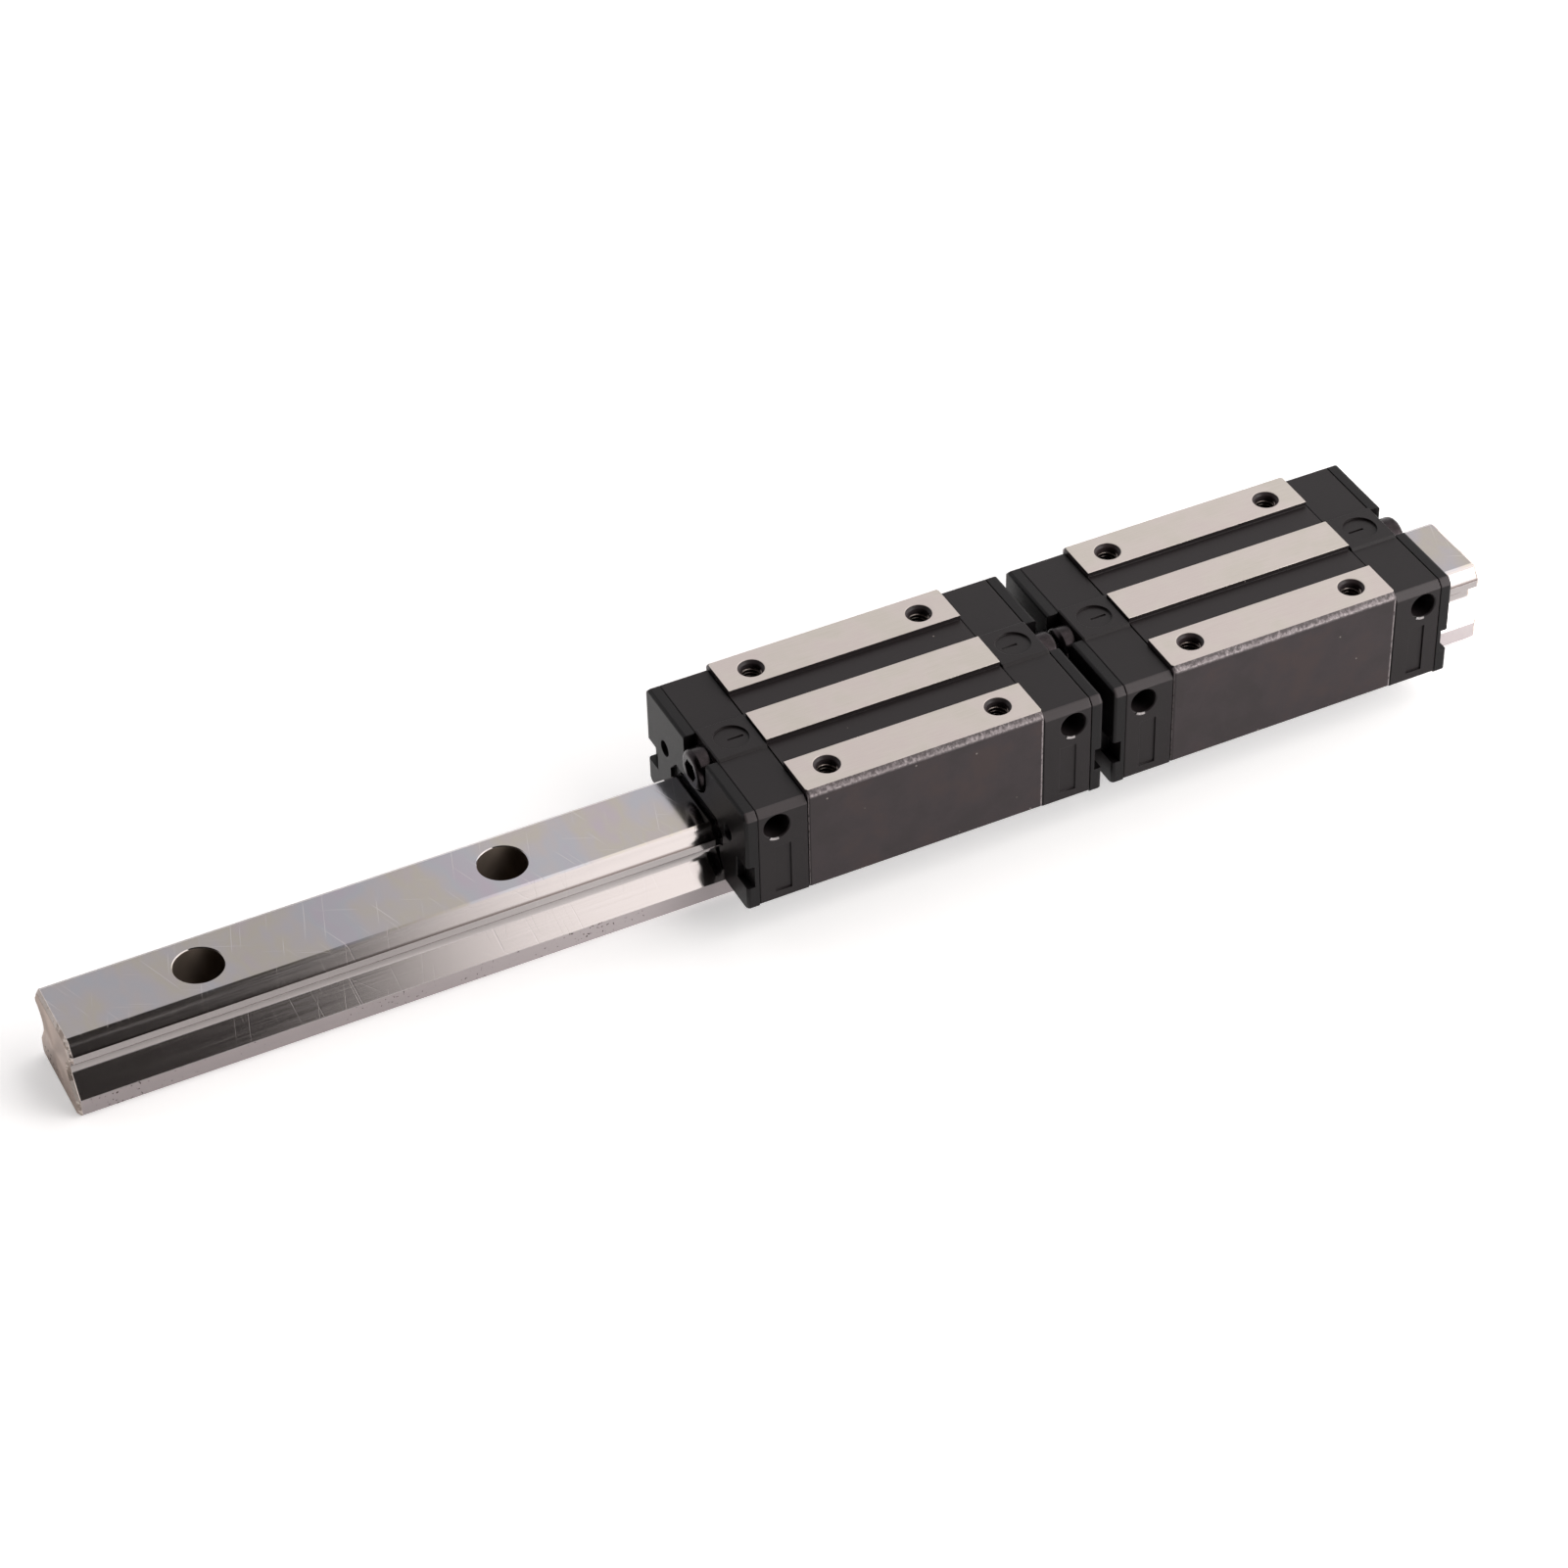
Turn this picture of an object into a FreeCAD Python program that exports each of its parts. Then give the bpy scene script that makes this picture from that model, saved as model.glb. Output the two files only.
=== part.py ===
import FreeCAD, Part
import math
import os
import Sketcher

# Profile linear guide: one ground steel rail and two square carriages that slide along it.
# Millimetres. The origin is under the middle of the rail, +X runs along the rail and +Z is up.

SIZES = [
    # Rail
    ("rail_length", 297.0, "sawn length of the rail"),
    ("rail_height", 17.5, "underside to top face"),
    ("base_half", 10.0, "half the width of the foot"),
    ("foot_side", 4.3, "height of the foot's upright side"),
    ("foot_chamfer", 0.9, "lower corner of the foot"),
    ("crown_step", 2.8, "side of the foot in to the edge of the flat top face"),
    ("shoulder_step", 1.8, "side of the foot in to the upper edge of the upper ball groove"),
    ("shoulder_drop", 0.5, "top face to the upper edge of the upper ball groove"),
    ("groove_step", 1.35, "side of the foot in to the bottom of the upper ball groove"),
    ("groove_drop", 1.85, "top face to the bottom of the upper ball groove"),
    ("nose_step", 0.3, "side of the foot in to the nose"),
    ("nose_drop", 2.75, "top face to the upper side of the nose"),
    ("nose_thickness", 1.5, "height of the nose between the two ball grooves"),
    ("under_step", 2.0, "side of the foot in to the bottom of the lower ball groove"),
    ("under_drop", 5.1, "top face to the bottom of the lower ball groove"),
    ("race_radius", 3.0, "radius of each ball groove in the rail"),
    ("flare_drop", 7.5, "top face to the middle of the neck"),
    ("waist_step", 3.8, "side of the foot in to the neck, before the neck is rounded"),
    ("neck_radius", 2.6, "rounding of the neck"),
    ("rail_bevel", 0.7, "broken edge around the sawn ends"),
    ("hole_pitch", 60.0, "distance from one bolt hole to the next"),
    ("hole_margin", 15.0, "least distance from a bolt hole to the rail's end"),
    ("bolt_radius", 3.0, "through hole for the bolt"),
    ("sink_radius", 4.75, "counterbore for the bolt's head"),
    ("sink_depth", 8.5, "depth of the counterbore"),
    ("rim_chamfer", 0.2, "broken edge of the counterbore"),
    # Steel block
    ("block_length", 49.6, "length of the steel body"),
    ("block_half", 22.0, "half the width of the steel body"),
    ("block_rise", 12.5, "mounting faces above the rail's top face"),
    ("block_bottom", 6.7, "clear height under the steel body"),
    ("block_chamfer", 1.05, "upper long edges"),
    ("block_foot_chamfer", 0.6, "lower long edges"),
    ("block_bevel", 0.3, "broken edge around the ends"),
    ("land_half", 4.4, "half the width of the middle ground land"),
    ("land_width", 9.3, "width of each outer ground land"),
    ("channel_depth", 1.0, "depth of the two unground channels between the lands"),
    ("tap_radius", 2.1, "tapped hole, at the crest of its thread"),
    ("tap_mouth", 2.7, "countersunk mouth of the tapped hole"),
    ("tap_depth", 8.0, "depth of the tapped hole"),
    ("tap_end", 6.8, "tapped hole's axis to the end of the steel body"),
    ("tap_edge", 6.0, "tapped hole's axis to the side of the steel body"),
    ("passage_step", 2.8, "side of the foot in to where the passage round the neck is measured from"),
    ("body_clear", 1.0, "steel and end cap to rail"),
    ("roof_rise", 0.5, "roof of the passage above its ball grooves"),
    ("roof_step", 0.55, "side of the roof relief outside the edge of the rail's top face"),
    # Ball rows
    ("ball_radius", 1.35, "balls, a little clear of the grooves in the rail"),
    ("ball_step", 0.1, "side of the foot in to the middle of the ball rows"),
    ("upper_ball_drop", 0.55, "top face to the middle of the upper ball rows"),
    ("lower_ball_drop", 6.0, "top face to the middle of the lower ball rows"),
    ("seat_gap", 0.05, "ball row to the groove in the block"),
    # End caps
    ("cap_length", 10.4, "length of one moulded end cap"),
    ("cap_inset", 0.2, "side of a cap inside the side of the steel body"),
    ("cap_sunk", 1.1, "top of a cap below the mounting faces"),
    ("cap_below", 0.25, "underside of a cap below the steel body"),
    ("cap_chamfer", 1.2, "upper long edges of a cap"),
    ("cap_foot_chamfer", 0.5, "lower long edges of a cap"),
    ("seam_chamfer", 0.25, "edges of the cap where the steel body and the seal plate meet it"),
    ("pad_rise", 0.5, "height of the raised middle pad"),
    ("pad_step", 0.5, "side of the pad's top outside the middle ground land"),
    ("dial_radius", 3.45, "round recess on the pad"),
    ("dial_depth", 0.45, "depth of the round recess"),
    ("dash_length", 3.3, "short slot in the round recess"),
    ("dash_shift", 0.85, "middle of the short slot off the recess's middle, towards the steel body"),
    ("dash_width", 0.5, "width of the short slot"),
    ("dash_depth", 0.35, "depth of the short slot"),
    ("port_radius", 2.65, "side grease port"),
    ("port_depth", 6.0, "depth of the side grease port"),
    ("port_rim", 0.25, "broken edge of the side grease port"),
    ("port_wall", 1.25, "side port to the cap's outer end"),
    ("port_drop", 5.5, "side port's axis below the mounting faces"),
    ("plate_from_steel", 3.7, "near edge of the sunk side panel to the steel body"),
    ("plate_width", 3.4, "width of the sunk side panel"),
    ("plate_lift", 2.15, "lower edge of the sunk side panel above the cap's underside"),
    ("plate_gap", 4.9, "upper edge of the sunk side panel below the side port's axis"),
    ("plate_depth", 0.35, "depth of the sunk side panel"),
    # Seal plates
    ("seal_thickness", 2.5, "thickness of one end seal plate"),
    ("seal_below", 0.3, "underside of the seal plate below the cap"),
    ("seal_round", 0.7, "rounded outer edge of the seal plate"),
    ("lip_clear", 0.45, "seal lip to rail"),
    ("relief_clear", 1.6, "step around the seal lip to rail"),
    ("relief_depth", 0.9, "how deep the lip is stepped back from the seal plate's face"),
    ("mouth_gap", 0.6, "plug's notch in the seal plate to the plug's head"),
    ("plug_drop", 5.5, "grease plug's axis below the mounting faces"),
    ("catch_low", 11.5, "lower edge of the side notch in the seal plate"),
    ("catch_high", 16.4, "upper edge of the side notch"),
    ("catch_reach", 4.5, "how far the side notch reaches in"),
    ("catch_depth", 1.6, "how deep the side notch is"),
    ("screw_edge", 8.3, "end screw's axis to the side of the steel body"),
    ("screw_rise", 1.9, "end screw's axis above the rail's top face"),
    ("screw_head_radius", 1.6, "end screw's head"),
    ("screw_head_length", 0.9, "thickness of the end screw's head"),
    ("screw_shank_radius", 1.0, "end screw's shank"),
    ("screw_reach", 6.0, "how far the end screw reaches into the cap"),
    ("screw_web", 0.3, "seal plate left under the end screw's head"),
    ("screw_slot", 0.5, "width and depth of the slot in the screw's head"),
    ("fit_gap", 0.05, "screw and plug to their holes"),
    # Grease plugs
    ("plug_head_radius", 4.1, "grease plug's button head"),
    ("plug_head_length", 3.5, "height of the button head"),
    ("plug_rim", 1.1, "rounding of the button head"),
    ("plug_stem_radius", 2.5, "grease plug's stem"),
    ("plug_stem_length", 5.0, "how far the stem reaches into the cap"),
    ("plug_flats", 4.0, "hexagon socket in the plug, across its flats"),
    ("plug_socket_depth", 2.2, "depth of the hexagon socket"),
    # Places
    ("left_centre", 17.5, "middle of the left carriage"),
    ("carriage_gap", 2.4, "room between the two carriages"),
]

document = FreeCAD.newDocument("linear_guide")
sheet = document.addObject("Spreadsheet::Sheet", "sizes")
for row, (alias, amount, meaning) in enumerate(SIZES, start=1):
    sheet.set(f"A{row}", alias)
    sheet.set(f"B{row}", str(amount))
    sheet.set(f"C{row}", meaning)
    sheet.setAlias(f"B{row}", alias)
document.recompute()


class Size:
    """A length worked out from the sheet: its number, and the formula that ties an object to the sheet."""

    def __init__(self, number, formula):
        self.number = float(number)
        self.formula = formula

    def __add__(self, other):
        other = as_size(other)
        return Size(self.number + other.number, f"({self.formula} + {other.formula})")

    def __sub__(self, other):
        other = as_size(other)
        return Size(self.number - other.number, f"({self.formula} - {other.formula})")

    def __mul__(self, other):
        other = as_size(other)
        return Size(self.number * other.number, f"({self.formula} * {other.formula})")

    def __truediv__(self, other):
        other = as_size(other)
        return Size(self.number / other.number, f"({self.formula} / {other.formula})")

    def __neg__(self):
        return Size(-self.number, f"(0 - {self.formula})")


def as_size(value):
    """A plain number as a Size."""
    if isinstance(value, Size):
        return value
    return Size(value, repr(float(value)))


def cell(alias):
    """The size that the sheet holds under this name."""
    return Size(sheet.get(alias), f"sizes.{alias}")


def root(value):
    return Size(math.sqrt(value.number), f"sqrt({value.formula})")


def whole(value):
    return Size(math.floor(value.number), f"floor({value.formula})")


NOTHING = as_size(0)

S = {alias: cell(alias) for alias, amount, meaning in SIZES}


def bind(target, prop, value):
    """Ties one property of an object to the sheet."""
    target.setExpression(prop, as_size(value).formula)


def new_body(label):
    body = document.addObject("PartDesign::Body", label)
    body.Label = label
    return body


def new_sketch(body, name, plane, place=(NOTHING, NOTHING, NOTHING)):
    """A sketch on one of the body's own origin planes, moved by place in the sketch's own directions."""
    sketch = body.newObject("Sketcher::SketchObject", name)
    origin_plane = [part for part in body.Origin.OriginFeatures if part.Role == plane][0]
    sketch.AttachmentSupport = [(origin_plane, "")]
    sketch.MapMode = "FlatFace"
    for direction, value in zip("xyz", place):
        bind(sketch, f".AttachmentOffset.Base.{direction}", value)
    return sketch


def fix_point(sketch, line, end, across, up):
    """Ties one end of a line to its two distances from the sketch's origin."""
    for kind, axis, value in (("DistanceX", -2, across), ("DistanceY", -1, up)):
        value = as_size(value)
        if value.formula == NOTHING.formula:
            sketch.addConstraint(Sketcher.Constraint("PointOnObject", line, end, axis))
        else:
            index = sketch.addConstraint(Sketcher.Constraint(kind, -1, 1, line, end, value.number))
            sketch.setExpression(f"Constraints[{index}]", value.formula)


def draw_outline(sketch, corners):
    """A closed outline of straight lines, each corner tied to the sheet."""
    corners = [(as_size(across), as_size(up)) for across, up in corners]
    points = [FreeCAD.Vector(across.number, up.number, 0) for across, up in corners]
    count = len(points)
    for index in range(count):
        sketch.addGeometry(Part.LineSegment(points[index], points[(index + 1) % count]))
    for index in range(count):
        sketch.addConstraint(Sketcher.Constraint("Coincident", index, 2, (index + 1) % count, 1))
    for index, (across, up) in enumerate(corners):
        fix_point(sketch, index, 1, across, up)


def mirrored(half):
    """A whole outline from its right half, which runs from the upper middle round to the lower middle."""
    return half + [(-as_size(across), up) for across, up in reversed(half)]


def pad(body, sketch, name, length, both_ways=False):
    feature = body.newObject("PartDesign::Pad", name)
    feature.Profile = sketch
    bind(feature, "Length", length)
    feature.Midplane = both_ways
    sketch.Visibility = False
    document.recompute()
    return feature


def pocket(body, sketch, name, depth, reverse=False):
    """Cuts a sketch's outline into the body and makes sure that it took material away."""
    before = body.Shape.Volume
    feature = body.newObject("PartDesign::Pocket", name)
    feature.Profile = sketch
    bind(feature, "Length", depth)
    feature.Reversed = reverse
    document.recompute()
    if not body.Shape.Volume < before:
        raise ValueError(f"{name} of {body.Label} cuts nothing")
    return feature


def turn(body, kind, name, axis, place, profile):
    """Adds or cuts a turned shape. Its profile is a list of (along the axis, radius)."""
    plane = "XZ_Plane" if axis == "z" else "XY_Plane"
    if axis == "z":
        spot = (place[0], place[2], -as_size(place[1]))
    else:
        spot = (place[0], place[1], place[2])
    sketch = new_sketch(body, f"{name}_profile", plane, spot)
    if axis == "x":
        draw_outline(sketch, [(along, radius) for along, radius in profile])
    else:
        draw_outline(sketch, [(radius, along) for along, radius in profile])
    before = 0.0 if body.Tip is None else body.Shape.Volume
    feature = body.newObject(f"PartDesign::{kind}", name)
    feature.Profile = sketch
    feature.ReferenceAxis = (sketch, ["H_Axis" if axis == "x" else "V_Axis"])
    feature.Angle = 360
    document.recompute()
    if kind == "Groove" and not body.Shape.Volume < before:
        raise ValueError(f"{name} of {body.Label} cuts nothing")
    return feature


def edges_where(body, test):
    """Names of the edges of the body's present shape whose middle and box pass the test."""
    return [f"Edge{index}" for index, edge in enumerate(body.Shape.Edges, start=1) if test(edge)]


def dress(body, kind, name, edges, prop, value):
    """A fillet or a chamfer along the named edges."""
    if not edges:
        raise ValueError(f"{name} of {body.Label} finds no edge")
    base = body.Tip
    feature = body.newObject(f"PartDesign::{kind}", name)
    feature.Base = (base, edges)
    bind(feature, prop, value)
    document.recompute()
    return feature


def runs_along_x(edge):
    return edge.BoundBox.XLength > 1.0 and edge.BoundBox.YLength < 1e-6 and edge.BoundBox.ZLength < 1e-6


def long_edges_at(body, places):
    """Edges along X that pass through any of the (across, up) places, on both sides."""
    spots = [(as_size(across).number, as_size(up).number) for across, up in places]

    def near(edge):
        if not runs_along_x(edge):
            return False
        middle = edge.BoundBox.Center
        return any(abs(abs(middle.y) - across) < 1e-4 and abs(middle.z - up) < 1e-4 for across, up in spots)

    return edges_where(body, near)


# Places that several pieces share

crown_half = S["base_half"] - S["crown_step"]
shoulder_half = S["base_half"] - S["shoulder_step"]
shoulder_high = S["rail_height"] - S["shoulder_drop"]
groove_half = S["base_half"] - S["groove_step"]
groove_high = S["rail_height"] - S["groove_drop"]
under_half = S["base_half"] - S["under_step"]
under_high = S["rail_height"] - S["under_drop"]
waist_half = S["base_half"] - S["waist_step"]
passage_half = S["base_half"] - S["passage_step"]
nose_half = S["base_half"] - S["nose_step"]
nose_high = S["rail_height"] - S["nose_drop"]
nose_low = nose_high - S["nose_thickness"]
flare_top = S["rail_height"] - S["flare_drop"]
flare_slope = S["waist_step"] / (flare_top - S["foot_side"])
flare_lean = root(flare_slope * flare_slope + 1)
ball_side = S["base_half"] - S["ball_step"]
upper_ball = S["rail_height"] - S["upper_ball_drop"]
lower_ball = S["rail_height"] - S["lower_ball_drop"]
block_race = S["ball_radius"] + S["seat_gap"]
end_length = S["cap_length"] + S["seal_thickness"]
carriage_length = S["block_length"] + end_length * 2
right_centre = S["left_centre"] + carriage_length + S["carriage_gap"]
block_top = S["rail_height"] + S["block_rise"]
cap_half = S["block_half"] - S["cap_inset"]
cap_top = block_top - S["cap_sunk"]
cap_bottom = S["block_bottom"] - S["cap_below"]
seal_bottom = cap_bottom - S["seal_below"]
pad_half = S["land_half"] + S["pad_step"]
port_from_steel = S["cap_length"] - S["port_wall"] - S["port_radius"]
port_height = block_top - S["port_drop"]
mouth_half = S["plug_head_radius"] + S["mouth_gap"]
mouth_height = block_top - S["plug_drop"]
screw_side = S["block_half"] - S["screw_edge"]
screw_height = S["rail_height"] + S["screw_rise"]


def flare_at(height, clear):
    """Distance from the middle to the widening flank at a height, held clear of it by a gap."""
    return waist_half + (flare_top - height) * flare_slope + clear * flare_lean


def flare_meets(clear):
    """Height at which the held-off flank meets the upright wall of the passage round the neck."""
    return flare_top - (passage_half + clear - waist_half - clear * flare_lean) / flare_slope


def make_rail():
    body = new_body("rail")
    half = [
        (crown_half, S["rail_height"]),
        (shoulder_half, shoulder_high),
        (groove_half, groove_high),
        (nose_half, nose_high),
        (nose_half, nose_low),
        (under_half, under_high),
        (waist_half, flare_top),
        (S["base_half"], S["foot_side"]),
        (S["base_half"], S["foot_chamfer"]),
        (S["base_half"] - S["foot_chamfer"], NOTHING),
    ]
    section = new_sketch(body, "rail_section", "YZ_Plane")
    draw_outline(section, mirrored(half))
    pad(body, section, "rail_bar", S["rail_length"], both_ways=True)
    grooves = long_edges_at(body, [(groove_half, groove_high), (under_half, under_high)])
    dress(body, "Fillet", "rail_ball_grooves", grooves, "Radius", S["race_radius"])
    necks = long_edges_at(body, [(waist_half, flare_top)])
    dress(body, "Fillet", "rail_necks", necks, "Radius", S["neck_radius"])
    end = S["rail_length"].number / 2
    ends = edges_where(body, lambda edge: edge.BoundBox.XLength < 1e-6 and abs(abs(edge.BoundBox.XMin) - end) < 1e-4)
    dress(body, "Chamfer", "rail_end_bevels", ends, "Size", S["rail_bevel"])

    hole_count = whole((S["rail_length"] - S["hole_margin"] * 2) / S["hole_pitch"]) + 1
    hole_run = (hole_count - 1) * S["hole_pitch"]
    sink_floor = S["rail_height"] - S["sink_depth"]
    over = S["rail_height"] + S["rim_chamfer"]
    profile = [
        (-S["rim_chamfer"], NOTHING),
        (-S["rim_chamfer"], S["bolt_radius"]),
        (sink_floor, S["bolt_radius"]),
        (sink_floor, S["sink_radius"]),
        (S["rail_height"] - S["rim_chamfer"], S["sink_radius"]),
        (over, S["sink_radius"] + S["rim_chamfer"] * 2),
        (over, NOTHING),
    ]
    hole = turn(body, "Groove", "bolt_hole", "z", (-hole_run / 2, NOTHING, NOTHING), profile)
    row = body.newObject("PartDesign::LinearPattern", "bolt_holes")
    row.Originals = [hole]
    row.Direction = (section, ["N_Axis"])
    bind(row, "Length", hole_run)
    bind(row, "Occurrences", hole_count)
    body.Tip = row
    document.recompute()
    return body


def cut_through(body, name, half):
    """Cuts an opening with this right half along the whole body, and makes sure that it took material away."""
    outline = new_sketch(body, f"{name}_outline", "YZ_Plane")
    draw_outline(outline, mirrored(half))
    before = body.Shape.Volume
    feature = body.newObject("PartDesign::Pocket", name)
    feature.Profile = outline
    feature.Type = "ThroughAll"
    feature.Midplane = True
    document.recompute()
    if not body.Shape.Volume < before:
        raise ValueError(f"{name} of {body.Label} cuts nothing")


def neck_passage(clear, top):
    """Right half of the lower passage, which follows the rail's neck and its widening flank."""
    return [
        (passage_half + clear, top),
        (passage_half + clear, flare_meets(clear)),
        (flare_at(NOTHING, clear), NOTHING),
    ]


def cut_passage(body, name, clear):
    """Cuts a straight-sided passage that stands clear of the rail all round."""
    cut_through(body, f"{name}_neck", neck_passage(clear, under_high))
    cut_through(body, f"{name}_head", [
        (crown_half + clear, S["rail_height"] + clear),
        (nose_half + clear, nose_high + clear),
        (nose_half + clear, nose_low - clear),
        (passage_half + clear, under_high - clear * 2),
    ])


def make_block(label, centre):
    body = new_body(label)
    floor = block_top - S["channel_depth"]
    shoulder = S["block_half"] - S["block_chamfer"]
    outer = [
        (S["land_half"], block_top),
        (S["land_half"], floor),
        (shoulder - S["land_width"], floor),
        (shoulder - S["land_width"], block_top),
        (shoulder, block_top),
        (S["block_half"], block_top - S["block_chamfer"]),
        (S["block_half"], S["block_bottom"] + S["block_foot_chamfer"]),
        (S["block_half"] - S["block_foot_chamfer"], S["block_bottom"]),
    ]
    section = new_sketch(body, f"{label}_section", "YZ_Plane")
    draw_outline(section, mirrored(outer))
    pad(body, section, f"{label}_bar", S["block_length"], both_ways=True)

    race_side = ball_side + block_race
    race_roof = upper_ball + block_race
    race_floor = lower_ball - block_race
    relief_half = crown_half + S["roof_step"]
    cut_through(body, f"{label}_neck", neck_passage(S["body_clear"], nose_low))
    cut_through(body, f"{label}_races", [(race_side, race_roof), (race_side, race_floor)])
    cut_through(body, f"{label}_roof", [(relief_half, race_roof + S["roof_rise"]), (relief_half, nose_high)])
    races = long_edges_at(body, [(race_side, race_roof), (race_side, race_floor)])
    dress(body, "Fillet", f"{label}_ball_grooves", races, "Radius", block_race)

    end = S["block_length"].number / 2
    rim = S["block_half"].number - S["block_chamfer"].number - 1e-3

    def outer_end_edge(edge):
        box = edge.BoundBox
        at_end = box.XLength < 1e-6 and abs(abs(box.XMin) - end) < 1e-4
        return at_end and abs(box.Center.y) > rim

    dress(body, "Chamfer", f"{label}_end_bevels", edges_where(body, outer_end_edge), "Size", S["block_bevel"])

    mouth = S["tap_mouth"] - S["tap_radius"]
    over = S["rim_chamfer"]
    tip = S["tap_depth"] + S["tap_radius"] / 2
    tap_along = S["block_length"] / 2 - S["tap_end"]
    tap_across = S["block_half"] - S["tap_edge"]
    profile = [
        (over, NOTHING),
        (over, S["tap_mouth"] + over),
        (-mouth, S["tap_radius"]),
        (-S["tap_depth"], S["tap_radius"]),
        (-tip, NOTHING),
    ]
    for along_sign, along_word in ((-1, "a"), (1, "b")):
        for across_sign, across_word in ((-1, "front"), (1, "back")):
            spot = (tap_along * along_sign, tap_across * across_sign, block_top)
            turn(body, "Groove", f"{label}_tap_{across_word}_{along_word}", "z", spot, profile)
    bind(body, ".Placement.Base.x", centre)
    return body


def ball_rows(label, centre):
    """Four loaded rows of balls, each drawn as one round bar in its pair of grooves."""
    rows = []
    for up_word, height in (("upper", upper_ball), ("lower", lower_ball)):
        for side_word, sign in (("front", -1), ("back", 1)):
            name = f"{label}_balls_{up_word}_{side_word}"
            bar = document.addObject("Part::Cylinder", name)
            bar.Label = name
            bind(bar, "Radius", S["ball_radius"])
            bind(bar, "Height", S["block_length"])
            bar.Placement = FreeCAD.Placement(FreeCAD.Vector(), FreeCAD.Rotation(FreeCAD.Vector(0, 1, 0), 90))
            bind(bar, ".Placement.Base.x", centre - S["block_length"] / 2)
            bind(bar, ".Placement.Base.y", ball_side * sign)
            bind(bar, ".Placement.Base.z", height)
            rows.append(bar)
    return rows


def seat(body, centre, direction, distance):
    """Puts an end piece at its distance from the carriage's middle, turned to face outwards."""
    if direction < 0:
        body.Placement = FreeCAD.Placement(FreeCAD.Vector(), FreeCAD.Rotation(FreeCAD.Vector(0, 0, 1), 180))
    bind(body, ".Placement.Base.x", centre + distance * direction)


def plate_outline(bottom):
    """Outer right half that the cap and the seal plate share, without the raised pad."""
    return [
        (cap_half - S["cap_chamfer"], cap_top),
        (cap_half, cap_top - S["cap_chamfer"]),
        (cap_half, bottom + S["cap_foot_chamfer"]),
        (cap_half - S["cap_foot_chamfer"], bottom),
    ]


def make_cap(label, centre, direction):
    body = new_body(label)
    pad_top = cap_top + S["pad_rise"]
    outer = [(pad_half, pad_top), (pad_half + S["pad_rise"], cap_top)] + plate_outline(cap_bottom)
    section = new_sketch(body, f"{label}_section", "YZ_Plane")
    draw_outline(section, mirrored(outer))
    pad(body, section, f"{label}_shell", S["cap_length"])
    cut_passage(body, label, S["body_clear"])

    ends = (0.0, S["cap_length"].number)
    rim = cap_half.number - S["cap_chamfer"].number - 1e-3

    def seam_edge(edge):
        box = edge.BoundBox
        at_end = box.XLength < 1e-6 and any(abs(box.XMin - end) < 1e-4 for end in ends)
        on_top = box.ZMin > cap_top.number - 1e-3
        return at_end and (abs(box.Center.y) > rim or on_top)

    dress(body, "Chamfer", f"{label}_seams", edges_where(body, seam_edge), "Size", S["seam_chamfer"])

    dial_floor = pad_top - S["dial_depth"]
    dial = [
        (NOTHING, NOTHING),
        (S["dial_depth"] * 2, NOTHING),
        (S["dial_depth"] * 2, S["dial_radius"]),
        (NOTHING, S["dial_radius"]),
    ]
    middle = S["cap_length"] / 2
    turn(body, "Groove", f"{label}_dial", "z", (middle, NOTHING, dial_floor), dial)
    dash_spot = (middle - S["dash_shift"], NOTHING, dial_floor)
    dash = new_sketch(body, f"{label}_dash_outline", "XY_Plane", dash_spot)
    dash_x = S["dash_length"] / 2
    dash_y = S["dash_width"] / 2
    draw_outline(dash, [(dash_x, dash_y), (-dash_x, dash_y), (-dash_x, -dash_y), (dash_x, -dash_y)])
    pocket(body, dash, f"{label}_dash", S["dash_depth"])

    for word, sign in (("front", -1), ("back", 1)):
        side = cap_half * sign
        port = [
            (S["port_rim"] * sign, NOTHING),
            (S["port_rim"] * sign, S["port_radius"] + S["port_rim"] * 2),
            (S["port_rim"] * (-sign), S["port_radius"]),
            (S["port_depth"] * (-sign), S["port_radius"]),
            (S["port_depth"] * (-sign), NOTHING),
        ]
        spot = (port_from_steel, side, port_height)
        turn(body, "Groove", f"{label}_port_{word}", "y", spot, port)
        panel = new_sketch(body, f"{label}_panel_{word}_outline", "XZ_Plane", (NOTHING, NOTHING, -side))
        near = S["plate_from_steel"]
        far = near + S["plate_width"]
        low = cap_bottom + S["plate_lift"]
        high = port_height - S["plate_gap"]
        draw_outline(panel, [(near, low), (far, low), (far, high), (near, high)])
        pocket(body, panel, f"{label}_panel_{word}", S["plate_depth"], reverse=sign > 0)
        bore = S["screw_shank_radius"] + S["fit_gap"]
        screw_bore = [
            (S["fit_gap"], NOTHING),
            (S["fit_gap"], bore),
            (-S["screw_reach"] - S["fit_gap"], bore),
            (-S["screw_reach"] - S["fit_gap"], NOTHING),
        ]
        spot = (S["cap_length"], screw_side * sign, screw_height)
        turn(body, "Groove", f"{label}_screw_bore_{word}", "x", spot, screw_bore)
    stem = S["plug_stem_radius"] + S["fit_gap"]
    stem_bore = [
        (S["fit_gap"], NOTHING),
        (S["fit_gap"], stem),
        (-S["plug_stem_length"] - S["fit_gap"], stem),
        (-S["plug_stem_length"] - S["fit_gap"], NOTHING),
    ]
    turn(body, "Groove", f"{label}_plug_bore", "x", (S["cap_length"], NOTHING, mouth_height), stem_bore)
    seat(body, centre, direction, S["block_length"] / 2)
    return body


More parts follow.
